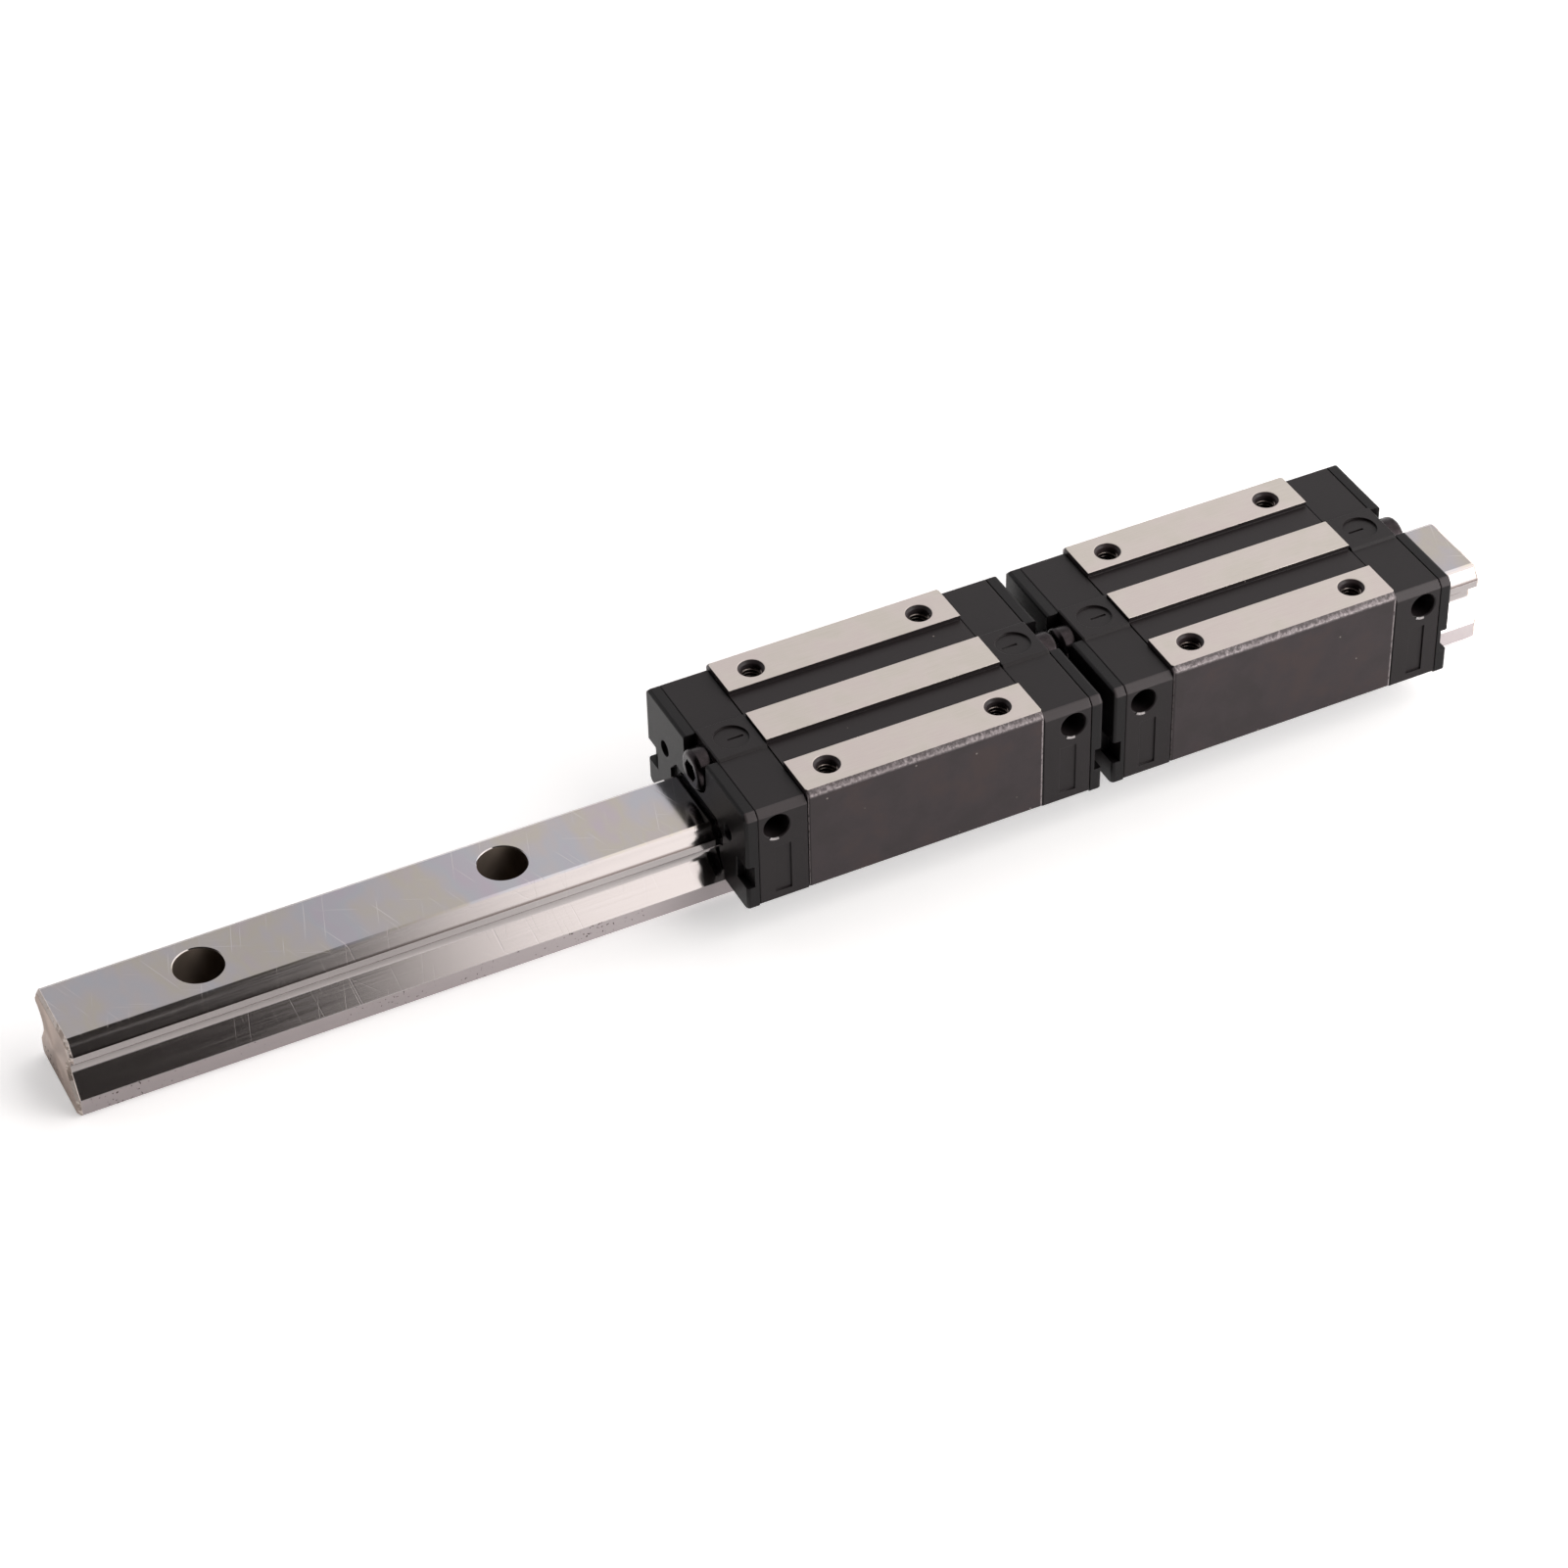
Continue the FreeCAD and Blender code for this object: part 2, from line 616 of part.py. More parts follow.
def make_seal(label, centre, direction):
    body = new_body(label)
    outer = [(mouth_half, mouth_height), (mouth_half, cap_top)] + plate_outline(seal_bottom)
    section = new_sketch(body, f"{label}_section", "YZ_Plane")
    draw_outline(section, mirrored(outer))
    pad(body, section, f"{label}_plate", S["seal_thickness"])
    cut_passage(body, label, S["lip_clear"])

    face = S["seal_thickness"].number
    inside = cap_half.number - S["cap_chamfer"].number - 1e-3

    def outer_rim(edge):
        box = edge.BoundBox
        at_face = box.XLength < 1e-6 and abs(box.XMin - face) < 1e-4
        on_top = box.ZMin > cap_top.number - 1e-3
        return at_face and (abs(box.Center.y) > inside or on_top)

    dress(body, "Fillet", f"{label}_rim", edges_where(body, outer_rim), "Radius", S["seal_round"])

    notch = [
        (NOTHING, NOTHING),
        (S["seal_thickness"], NOTHING),
        (S["seal_thickness"], mouth_half),
        (NOTHING, mouth_half),
    ]
    turn(body, "Groove", f"{label}_mouth", "x", (NOTHING, NOTHING, mouth_height), notch)
    step = S["relief_clear"]
    relief = new_sketch(body, f"{label}_relief_outline", "YZ_Plane", (NOTHING, NOTHING, S["seal_thickness"]))
    draw_outline(relief, mirrored([
        (crown_half + step, S["rail_height"] + step),
        (nose_half + step, nose_high + step),
        (nose_half + step, NOTHING),
    ]))
    pocket(body, relief, f"{label}_relief", S["relief_depth"])
    for word, sign in (("front", -1), ("back", 1)):
        catch = new_sketch(body, f"{label}_catch_{word}_outline", "YZ_Plane", (NOTHING, NOTHING, S["seal_thickness"]))
        near = (cap_half - S["catch_reach"]) * sign
        far = (cap_half + S["fit_gap"]) * sign
        draw_outline(catch, [
            (near, S["catch_low"]),
            (far, S["catch_low"]),
            (far, S["catch_high"]),
            (near, S["catch_high"]),
        ])
        pocket(body, catch, f"{label}_catch_{word}", S["catch_depth"])
        shank = S["screw_shank_radius"] + S["fit_gap"]
        head = S["screw_head_radius"] + S["fit_gap"]
        screw_hole = [
            (NOTHING, NOTHING),
            (NOTHING, shank),
            (S["screw_web"], shank),
            (S["screw_web"], head),
            (S["seal_thickness"], head),
            (S["seal_thickness"], NOTHING),
        ]
        spot = (NOTHING, screw_side * sign, screw_height)
        turn(body, "Groove", f"{label}_screw_hole_{word}", "x", spot, screw_hole)
    seat(body, centre, direction, S["block_length"] / 2 + S["cap_length"])
    return body


def make_plug(label, centre, direction):
    """Grease plug in the cap's end: a button head with a hexagon socket, in the seal plate's notch."""
    body = new_body(label)
    face = S["plug_head_length"]
    profile = [
        (-S["plug_stem_length"], NOTHING),
        (-S["plug_stem_length"], S["plug_stem_radius"]),
        (NOTHING, S["plug_stem_radius"]),
        (NOTHING, S["plug_head_radius"]),
        (face, S["plug_head_radius"]),
        (face, NOTHING),
    ]
    turn(body, "Revolution", f"{label}_turned", "x", (NOTHING, NOTHING, NOTHING), profile)

    def face_rim(edge):
        return edge.BoundBox.XLength < 1e-6 and abs(edge.BoundBox.XMin - face.number) < 1e-4

    dress(body, "Fillet", f"{label}_button", edges_where(body, face_rim), "Radius", S["plug_rim"])
    socket = new_sketch(body, f"{label}_socket_outline", "YZ_Plane", (NOTHING, NOTHING, face))
    flat = S["plug_flats"] / 2
    corner = S["plug_flats"] / root(as_size(3))
    draw_outline(socket, mirrored([(corner / 2, flat), (corner, NOTHING), (corner / 2, -flat)]))
    pocket(body, socket, f"{label}_socket", S["plug_socket_depth"])
    seat(body, centre, direction, S["block_length"] / 2 + S["cap_length"])
    bind(body, ".Placement.Base.z", mouth_height)
    return body


def make_screw(label, centre, direction, sign):
    """Small slotted screw that holds the seal plate and the cap to the block."""
    body = new_body(label)
    head_face = S["screw_web"] + S["screw_head_length"]
    profile = [
        (-S["screw_reach"], NOTHING),
        (-S["screw_reach"], S["screw_shank_radius"]),
        (S["screw_web"], S["screw_shank_radius"]),
        (S["screw_web"], S["screw_head_radius"]),
        (head_face, S["screw_head_radius"]),
        (head_face, NOTHING),
    ]
    turn(body, "Revolution", f"{label}_turned", "x", (NOTHING, NOTHING, NOTHING), profile)
    slot = new_sketch(body, f"{label}_slot_outline", "YZ_Plane", (NOTHING, NOTHING, head_face))
    reach = S["screw_head_radius"] + S["fit_gap"]
    wide = S["screw_slot"] / 2
    draw_outline(slot, [(-reach, -wide), (reach, -wide), (reach, wide), (-reach, wide)])
    pocket(body, slot, f"{label}_slot", S["screw_slot"])
    seat(body, centre, direction, S["block_length"] / 2 + S["cap_length"])
    bind(body, ".Placement.Base.y", screw_side * sign)
    bind(body, ".Placement.Base.z", screw_height)
    return body


def make_carriage(side, centre):
    pieces = [make_block(f"{side}_block", centre)]
    pieces += ball_rows(side, centre)
    for word, direction in (("a", -1), ("b", 1)):
        pieces.append(make_cap(f"{side}_cap_{word}", centre, direction))
        pieces.append(make_seal(f"{side}_seal_{word}", centre, direction))
        pieces.append(make_plug(f"{side}_plug_{word}", centre, direction))
        for across_word, sign in (("front", -1), ("back", 1)):
            pieces.append(make_screw(f"{side}_screw_{word}_{across_word}", centre, direction, sign))
    return pieces


def check(pieces):
    """Stops if any object failed to build, or any piece isn't one sound solid."""
    for item in document.Objects:
        if "Invalid" in item.State or "Error" in item.State:
            raise ValueError(f"{item.Name} failed: {item.State}")
    for piece in pieces:
        shape = piece.Shape
        if shape.isNull() or not shape.isValid() or len(shape.Solids) != 1:
            raise ValueError(f"{piece.Label} isn't one sound solid")


pieces = [make_rail()]
pieces += make_carriage("left", S["left_centre"])
pieces += make_carriage("right", right_centre)
document.recompute()
check(pieces)

os.makedirs("parts", exist_ok=True)
for piece in pieces:
    piece.Shape.exportStep(os.path.join("parts", f"{piece.Label}.step"))
    box = piece.Shape.BoundBox
    print(piece.Label, round(piece.Shape.Volume, 2), [round(v, 2) for v in (box.XMin, box.YMin, box.ZMin)],
          [round(v, 2) for v in (box.XMax, box.YMax, box.ZMax)])
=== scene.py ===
import math

import bpy
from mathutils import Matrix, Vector


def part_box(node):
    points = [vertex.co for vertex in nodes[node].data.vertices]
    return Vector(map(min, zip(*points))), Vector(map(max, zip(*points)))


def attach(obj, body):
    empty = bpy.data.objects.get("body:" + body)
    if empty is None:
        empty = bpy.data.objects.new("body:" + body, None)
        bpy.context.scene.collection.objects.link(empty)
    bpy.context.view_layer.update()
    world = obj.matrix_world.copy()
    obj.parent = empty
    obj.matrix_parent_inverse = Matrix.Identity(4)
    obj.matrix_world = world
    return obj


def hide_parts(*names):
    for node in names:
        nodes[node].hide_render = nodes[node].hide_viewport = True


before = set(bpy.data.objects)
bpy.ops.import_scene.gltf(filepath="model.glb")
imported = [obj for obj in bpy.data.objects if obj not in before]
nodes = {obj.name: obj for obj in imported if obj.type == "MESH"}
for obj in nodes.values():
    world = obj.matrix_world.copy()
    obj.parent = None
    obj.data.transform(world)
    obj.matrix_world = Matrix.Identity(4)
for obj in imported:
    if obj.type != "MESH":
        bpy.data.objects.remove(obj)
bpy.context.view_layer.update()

# Looks of a profile linear guide: a ground steel rail with two bearing carriages on it.
# Metres, in the frame of the solids: +X along the rail, +Z up, the front at -Y.

MM = 0.001

# The parts of a carriage: "a" is the end towards the rail's bare end
SIDES = ("left", "right")
ENDS = {"a": -1, "b": 1}
FACES = {"front": -1, "back": 1}


# Places on the object, in millimetres

def box_of(name):
    """A node's lowest and highest corner in millimetres."""
    low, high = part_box(name)
    return low / MM, high / MM


def middle_of(name):
    """How far along the rail a node's middle lies, in millimetres."""
    low, high = box_of(name)
    return (low.x + high.x) / 2


rail_high = box_of("rail")[1]
RAIL_END = rail_high.x
RAIL_TOP = rail_high.z
RAIL_BEVEL = 0.7
FOOT_TOP = 4.3
NOSE_TOP = 14.75
# Painted shade line above the nose: how far from the middle it starts
CREASE_SHADE_OUT = 9.1
# The upper edge of the rail's shoulders, and how far out it is after grinding
SHOULDER_OUT = 8.2
SHOULDER_UP = 17.0
SHOULDER_GROUND = 8.13
HOLE_PITCH = 60.0
COUNTERBORE_RADIUS = 4.75

block_low, block_high = box_of("left_block")
BLOCK_MIDDLES = {side: middle_of(f"{side}_block") for side in SIDES}
BLOCK_REACH = (block_high.x - block_low.x) / 2
BLOCK_SIDE = block_high.y
BLOCK_TOP = block_high.z
# The channels' outer sides, which are the inner sides of the outer lands
CHANNEL_SIDE = 11.65
# On a cap's upper long chamfers the height plus the distance from the middle is this much
CAP_CHAMFER = 49.5

# From a block's middle to its tapped holes and ports
TAP_ALONG = 18.0
TAP_ACROSS = 16.0
PORT_ALONG = 31.3
PORT_UP = 24.5


# Camera: a long lens from the front left, looking down on the guide

CAMERA_PLACE = (-277.54, -582.15, 561.99)
CAMERA_TURN = (49.5794, 1.2147, -26.3786)
CAMERA_LENS = 102.133
SENSOR = 36.0


def make_camera():
    data = bpy.data.cameras.new("camera")
    data.sensor_width = SENSOR
    data.lens = CAMERA_LENS
    data.clip_start = 10 * MM
    data.clip_end = 20
    camera = bpy.data.objects.new("camera", data)
    camera.location = Vector(CAMERA_PLACE) * MM
    camera.rotation_euler = [math.radians(angle) for angle in CAMERA_TURN]
    bpy.context.scene.collection.objects.link(camera)
    bpy.context.scene.camera = camera


# Materials: each starts from what the real surface is

def colour(code):
    """An sRGB hex value as linear red, green, blue and a full alpha."""
    parts = [int(code[start:start + 2], 16) / 255 for start in (1, 3, 5)]
    return [part / 12.92 if part <= 0.04045 else ((part + 0.055) / 1.055) ** 2.4 for part in parts] + [1.0]


def add(tree, kind, sockets=None, **settings):
    """Adds a node with its own settings. Each named or numbered socket gets a value or a link."""
    made = tree.nodes.new(kind)
    for name, value in settings.items():
        setattr(made, name, value)
    for key, value in (sockets or {}).items():
        if isinstance(value, bpy.types.NodeSocket):
            tree.links.new(value, made.inputs[key])
        else:
            made.inputs[key].default_value = value
    return made


def new_material(name):
    """An empty material, its node tree, its shader and its surface coordinates in millimetres."""
    material = bpy.data.materials.new(name)
    material.use_nodes = True
    tree = material.node_tree
    tree.nodes.clear()
    shader = add(tree, "ShaderNodeBsdfPrincipled")
    add(tree, "ShaderNodeOutputMaterial", {"Surface": shader.outputs[0]})
    place = add(tree, "ShaderNodeTexCoord").outputs["Object"]
    millimetres = add(tree, "ShaderNodeVectorMath", {0: place, "Scale": 1 / MM}, operation="SCALE").outputs[0]
    return material, tree, shader, millimetres


def set_ramp(ramp, stops):
    """Sets a colour ramp's stops from (position, hex value) pairs."""
    elements = ramp.color_ramp.elements
    while len(elements) < len(stops):
        elements.new(0.5)
    for element, (position, code) in zip(elements, stops):
        element.position = position
        element.color = colour(code)


# The white floor

# Its width in metres, and the millimetres between it and the rail
FLOOR_WIDTH = 8.0
FLOOR_GAP = 0.05
# How much brighter than its light the paper is to the camera
PAPER_LIFT = 0.4


def floor_finish():
    """White studio paper: matt, and seen a little brighter than its light so that it reads as white.

    In metal it shows a painted reflection: to glossy rays it glows faint at the bare end and brightest round
    the carriages.
    """
    material, tree, shader, place = new_material("white_paper")
    shader.inputs["Base Color"].default_value = colour("#f4f3f3")
    shader.inputs["Roughness"].default_value = 0.9
    shader.inputs["Specular IOR Level"].default_value = 0.1
    path = add(tree, "ShaderNodeLightPath").outputs
    rays = {0: path["Is Glossy Ray"], 1: path["Is Transmission Ray"]}
    mirrored = add(tree, "ShaderNodeMath", rays, operation="MAXIMUM").outputs[0]
    seen = {0: path["Is Camera Ray"], 1: PAPER_LIFT}
    lift = add(tree, "ShaderNodeMath", seen, operation="MULTIPLY").outputs[0]
    # Painted reflection: how brightly the paper glows to glossy rays is set by where it lies along the rail
    along = add(tree, "ShaderNodeSeparateXYZ", {0: place}).outputs["X"]
    brighter = {"Value": along, "From Min": -85.0, "From Max": -40.0, "To Min": 0.06, "To Max": 0.45}
    rise = add(tree, "ShaderNodeMapRange", brighter).outputs[0]
    dimmer = {"Value": along, "From Min": 60.0, "From Max": 140.0, "To Min": 1.0, "To Max": 0.7}
    fall = add(tree, "ShaderNodeMapRange", dimmer).outputs[0]
    painted_reflection = add(tree, "ShaderNodeMath", {0: rise, 1: fall}, operation="MULTIPLY").outputs[0]
    lift = add(tree, "ShaderNodeMath", {0: mirrored, 1: painted_reflection, 2: lift}, operation="MULTIPLY_ADD").outputs[0]
    tree.links.new(lift, shader.inputs["Emission Strength"])
    shader.inputs["Emission Color"].default_value = colour("#ffffff")
    return material


def make_floor():
    bpy.ops.mesh.primitive_plane_add(size=FLOOR_WIDTH, location=(0, 0, -FLOOR_GAP * MM))
    floor = bpy.context.object
    floor.name = "floor"
    floor.data.materials.append(floor_finish())


# Light: a wide white wall of soft light on the right, a grey wall behind and a dim room on the left

ROOM_STRENGTH = 3.0
DIM_LEFT = (0.222, "#1b1918")
WHITE_RIGHT = (0.268, "#d8d5d3")
FAR_RIGHT = (0.6, "#dfdcda")
GREY_BEHIND = "#9c9b9c"
# A low box at the front right lights the upright front faces, the right ones most. In metres.
BOX_PLACE = (0.42, -0.38, 0.20)
BOX_AIM = (0.08, 0, 0.01)
BOX_SIZE = 0.3
BOX_RADIANCE = 4.0


def make_world():
    """The studio's light by direction: ground faces turn white where they start to show the right."""
    world = bpy.data.worlds.new("studio")
    bpy.context.scene.world = world
    world.use_nodes = True
    tree = world.node_tree
    tree.nodes.clear()
    direction = add(tree, "ShaderNodeTexCoord").outputs["Generated"]
    parts = add(tree, "ShaderNodeSeparateXYZ", {0: direction}).outputs
    rightward = add(tree, "ShaderNodeValToRGB", {0: parts["X"]})
    set_ramp(rightward, [DIM_LEFT, WHITE_RIGHT, FAR_RIGHT])
    backward = {"Value": parts["Y"], "From Min": 0.25, "From Max": 0.55, "To Max": 0.87}
    behind = add(tree, "ShaderNodeMapRange", backward).outputs[0]
    layer = {0: behind, 6: rightward.outputs[0], 7: colour(GREY_BEHIND)}
    shade = add(tree, "ShaderNodeMix", layer, data_type="RGBA").outputs[2]
    back = add(tree, "ShaderNodeBackground", {"Color": shade, "Strength": ROOM_STRENGTH})
    add(tree, "ShaderNodeOutputWorld", {"Surface": back.outputs[0]})


def soft_box(name, place, size, radiance, aim):
    """A square of light that faces its aim. Radiance is how bright its face looks."""
    data = bpy.data.lights.new(name, "AREA")
    data.size = size
    # Four watts for each square metre give a radiance of one
    data.energy = 4 * radiance * size * size
    lamp = bpy.data.objects.new(name, data)
    lamp.location = place
    lamp.rotation_euler = (Vector(aim) - Vector(place)).to_track_quat("-Z", "Y").to_euler()
    bpy.context.scene.collection.objects.link(lamp)


bpy.context.scene.view_settings.view_transform = "Standard"
make_camera()
make_floor()
make_world()
soft_box("box_right", BOX_PLACE, BOX_SIZE, BOX_RADIANCE, BOX_AIM)


# The rail's steel

# Scratches: turn in degrees, stretch along and across the streak, and how rare they are
SCRATCHES = ((70, 0.06, 2.6, 0.75), (108, 0.05, 3.0, 0.76), (25, 0.05, 2.8, 0.76))
TEMPER_COLOURS = [(0.3, "#a9a1a9"), (0.42, "#a5a5aa"), (0.5, "#aaa5a6"), (0.58, "#aca69e"), (0.7, "#aba2a7")]


def rail_zones(tree, place):
    """Masks that are 1 on one part of the rail and 0 elsewhere, by the part's name."""
    split = add(tree, "ShaderNodeSeparateXYZ", {0: place}).outputs
    up = split["Z"]
    out = add(tree, "ShaderNodeMath", {0: split["Y"]}, operation="ABSOLUTE").outputs[0]
    along = add(tree, "ShaderNodeMath", {0: split["X"]}, operation="ABSOLUTE").outputs[0]
    zones = {}

    top = {"Value": up, "From Min": RAIL_TOP - 0.3, "From Max": RAIL_TOP - 0.15}
    zones["top"] = add(tree, "ShaderNodeMapRange", top).outputs[0]
    foot = {"Value": up, "From Min": FOOT_TOP + 0.15, "From Max": FOOT_TOP - 0.1}
    zones["foot"] = add(tree, "ShaderNodeMapRange", foot).outputs[0]
    end = {"Value": along, "From Min": RAIL_END - 0.1, "From Max": RAIL_END - 0.03}
    zones["end"] = add(tree, "ShaderNodeMapRange", end).outputs[0]
    inner = RAIL_END - RAIL_BEVEL
    bevel = {"Value": along, "From Min": inner - 0.1, "From Max": inner + 0.05}
    zones["bevel"] = add(tree, "ShaderNodeMapRange", bevel).outputs[0]

    # Painted shade: a thin dark line in the corner where the upper groove meets the nose
    low = {"Value": up, "From Min": NOSE_TOP - 0.03, "From Max": NOSE_TOP + 0.03}
    low = add(tree, "ShaderNodeMapRange", low).outputs[0]
    high = {"Value": up, "From Min": NOSE_TOP + 0.4, "From Max": NOSE_TOP + 0.15}
    high = add(tree, "ShaderNodeMapRange", high).outputs[0]
    outer = {"Value": out, "From Min": CREASE_SHADE_OUT - 0.05, "From Max": CREASE_SHADE_OUT + 0.05}
    outer = add(tree, "ShaderNodeMapRange", outer).outputs[0]
    grease = add(tree, "ShaderNodeMath", {0: low, 1: high}, operation="MULTIPLY").outputs[0]
    zones["grease"] = add(tree, "ShaderNodeMath", {0: grease, 1: outer}, operation="MULTIPLY").outputs[0]

    # Inside the counterbores, one for each pitch
    pitch = {0: split["X"], 1: -HOLE_PITCH / 2, 2: HOLE_PITCH / 2}
    along_pitch = add(tree, "ShaderNodeMath", pitch, operation="WRAP").outputs[0]
    spot = add(tree, "ShaderNodeCombineXYZ", {"X": along_pitch, "Y": split["Y"]}).outputs[0]
    from_hole = add(tree, "ShaderNodeVectorMath", {0: spot}, operation="LENGTH").outputs["Value"]
    bore = {"Value": from_hole, "From Min": COUNTERBORE_RADIUS + 0.05, "From Max": COUNTERBORE_RADIUS + 0.01}
    zones["bore"] = add(tree, "ShaderNodeMapRange", bore).outputs[0]
    return zones


def rail_scratches(tree, place, top):
    """Thin streaks at three angles, drawn 0.3 mm wide so that they show, and fainter on the flanks."""
    scratches = None
    for turn, along, across, least in SCRATCHES:
        turned = {"Vector": place, "Rotation": (0, 0, math.radians(turn))}
        turned = add(tree, "ShaderNodeMapping", turned).outputs[0]
        stretch = {0: turned, 1: (along, across, along)}
        thin = add(tree, "ShaderNodeVectorMath", stretch, operation="MULTIPLY").outputs[0]
        streak = add(tree, "ShaderNodeTexNoise", {"Vector": thin, "Scale": 1.0, "Detail": 1.0}).outputs[0]
        rare = {"Value": streak, "From Min": least - 0.06, "From Max": least}
        cut = add(tree, "ShaderNodeMapRange", rare).outputs[0]
        if scratches is None:
            scratches = cut
        else:
            scratches = add(tree, "ShaderNodeMath", {0: scratches, 1: cut}, operation="MAXIMUM").outputs[0]
    fade = add(tree, "ShaderNodeMapRange", {"Value": top, "To Min": 0.3, "To Max": 0.8}).outputs[0]
    return add(tree, "ShaderNodeMath", {0: scratches, 1: fade}, operation="MULTIPLY").outputs[0]


def rail_pits(tree, place, foot):
    """Small rust pits, 0.3 to 0.8 mm, in a few patches of the foot."""
    pit = add(tree, "ShaderNodeTexNoise", {"Vector": place, "Scale": 1.3, "Detail": 2.0}).outputs[0]
    patchy = add(tree, "ShaderNodeTexNoise", {"Vector": place, "Scale": 0.05, "Detail": 1.0}).outputs[0]
    both = add(tree, "ShaderNodeMath", {0: patchy, 1: 0.45, 2: pit}, operation="MULTIPLY_ADD").outputs[0]
    deep = add(tree, "ShaderNodeMapRange", {"Value": both, "From Min": 0.90, "From Max": 0.94}).outputs[0]
    return add(tree, "ShaderNodeMath", {0: deep, 1: foot}, operation="MULTIPLY").outputs[0]


def rail_chips(tree, place, bevel):
    """Bright chips in the bevels round the sawn ends, in uneven stretches."""
    fine = {"Vector": place, "Scale": 0.9, "Detail": 4.0, "Roughness": 0.7}
    fine = add(tree, "ShaderNodeTexNoise", fine).outputs[0]
    stretch = add(tree, "ShaderNodeTexNoise", {"Vector": place, "Scale": 0.22, "Detail": 2.0}).outputs[0]
    both = add(tree, "ShaderNodeMath", {0: stretch, 1: 1.2, 2: fine}, operation="MULTIPLY_ADD").outputs[0]
    chip = add(tree, "ShaderNodeMapRange", {"Value": both, "From Min": 1.05, "From Max": 1.14}).outputs[0]
    return add(tree, "ShaderNodeMath", {0: chip, 1: bevel}, operation="MULTIPLY").outputs[0]


def temper_colours(tree, place):
    """Straw, grey, blue and purple patches about 15 mm wide, stretched across the rail."""
    stretch = {0: place, 1: (0.07, 0.035, 0.05)}
    stretched = add(tree, "ShaderNodeVectorMath", stretch, operation="MULTIPLY").outputs[0]
    cloud = {"Vector": stretched, "Scale": 1.0, "Detail": 3.0, "Roughness": 0.6}
    patch = add(tree, "ShaderNodeTexNoise", cloud).outputs[0]
    tint = add(tree, "ShaderNodeValToRGB", {0: patch})
    set_ramp(tint, TEMPER_COLOURS)
    return tint.outputs[0]


def rail_finish():
    """Ground bearing steel: an even hard shine with fine lines along the rail and crossing scratches.

    Temper colours lie faintly on the top face. The sawn ends are matt and the counterbores dark, and
    the foot's upright side is left as drawn: a darker, rougher steel that has pitted.
    """
    material, tree, shader, place = new_material("ground_bearing_steel")
    zones = rail_zones(tree, place)
    scratches = rail_scratches(tree, place, zones["top"])
    pits = rail_pits(tree, place, zones["foot"])
    chips = rail_chips(tree, place, zones["bevel"])

    # Grinding lines along the rail, about 0.2 mm wide: real ones are finer than the picture shows
    stretch = {0: place, 1: (0.04, 5.0, 5.0)}
    stretched = add(tree, "ShaderNodeVectorMath", stretch, operation="MULTIPLY").outputs[0]
    lines = {"Vector": stretched, "Scale": 1.0, "Detail": 3.0, "Roughness": 0.7}
    lines = add(tree, "ShaderNodeTexNoise", lines).outputs[0]

    tinted = {0: zones["top"], 6: colour("#b0aaa9"), 7: temper_colours(tree, place)}
    shade = add(tree, "ShaderNodeMix", tinted, data_type="RGBA").outputs[2]
    layers = (
        (scratches, "#bbb6b6"),
        (zones["foot"], "#b5adae"),
        (zones["bevel"], "#b5a69c"),
        (chips, "#f0e6df"),
        (zones["end"], "#d4c4ba"),
        (zones["bore"], "#85796f"),
        (pits, "#4c423d"),
        # Painted shade: a thin dark line in the crease above the nose
        (zones["grease"], "#6b6260"),
    )
    for mask, code in layers:
        layer = {0: mask, 6: shade, 7: colour(code)}
        shade = add(tree, "ShaderNodeMix", layer, data_type="RGBA").outputs[2]
    tree.links.new(shade, shader.inputs["Base Color"])
    shader.inputs["Metallic"].default_value = 1.0
    # Grinding runs along the rail, so light spreads round the rail's own axis
    around = add(tree, "ShaderNodeTangent", direction_type="RADIAL", axis="X").outputs[0]
    tree.links.new(around, shader.inputs["Tangent"])
    shader.inputs["Anisotropic"].default_value = 0.7

    matt = {0: zones["foot"], 1: zones["bevel"]}
    matt = add(tree, "ShaderNodeMath", matt, operation="MAXIMUM").outputs[0]
    matt = add(tree, "ShaderNodeMath", {0: matt, 1: zones["bore"]}, operation="MAXIMUM").outputs[0]
    shine = {"Value": lines, "From Min": 0.3, "From Max": 0.7, "To Min": 0.10, "To Max": 0.16}
    rough = add(tree, "ShaderNodeMapRange", shine).outputs[0]
    rough = add(tree, "ShaderNodeMix", {0: matt, 2: rough, 3: 0.55}).outputs[0]
    rough = add(tree, "ShaderNodeMix", {0: pits, 2: rough, 3: 0.8}).outputs[0]
    tree.links.new(rough, shader.inputs["Roughness"])

    # Saw marks on the ends, raised lines, and cut scratches and pits
    saw = {"Vector": place, "Scale": 2.2, "Detail": 4.0, "Roughness": 0.7}
    saw = add(tree, "ShaderNodeTexNoise", saw).outputs[0]
    relief = add(tree, "ShaderNodeMath", {0: saw, 1: zones["bevel"]}, operation="MULTIPLY").outputs[0]
    for mark, height in ((lines, 0.07), (scratches, -0.12), (pits, -1.0)):
        raised = {0: mark, 1: height, 2: relief}
        relief = add(tree, "ShaderNodeMath", raised, operation="MULTIPLY_ADD").outputs[0]
    bump = add(tree, "ShaderNodeBump", {"Height": relief, "Distance": 0.05 * MM, "Strength": 0.5}).outputs[0]
    tree.links.new(bump, shader.inputs["Normal"])
    return material


# The blocks' steel

OXIDE_COLOURS = [(0.35, "#322c2d"), (0.5, "#362f31"), (0.65, "#3b3131")]
LAND_COLOURS = [(0.38, "#bcb0ac"), (0.5, "#bdb4ad"), (0.62, "#b7b1a6")]


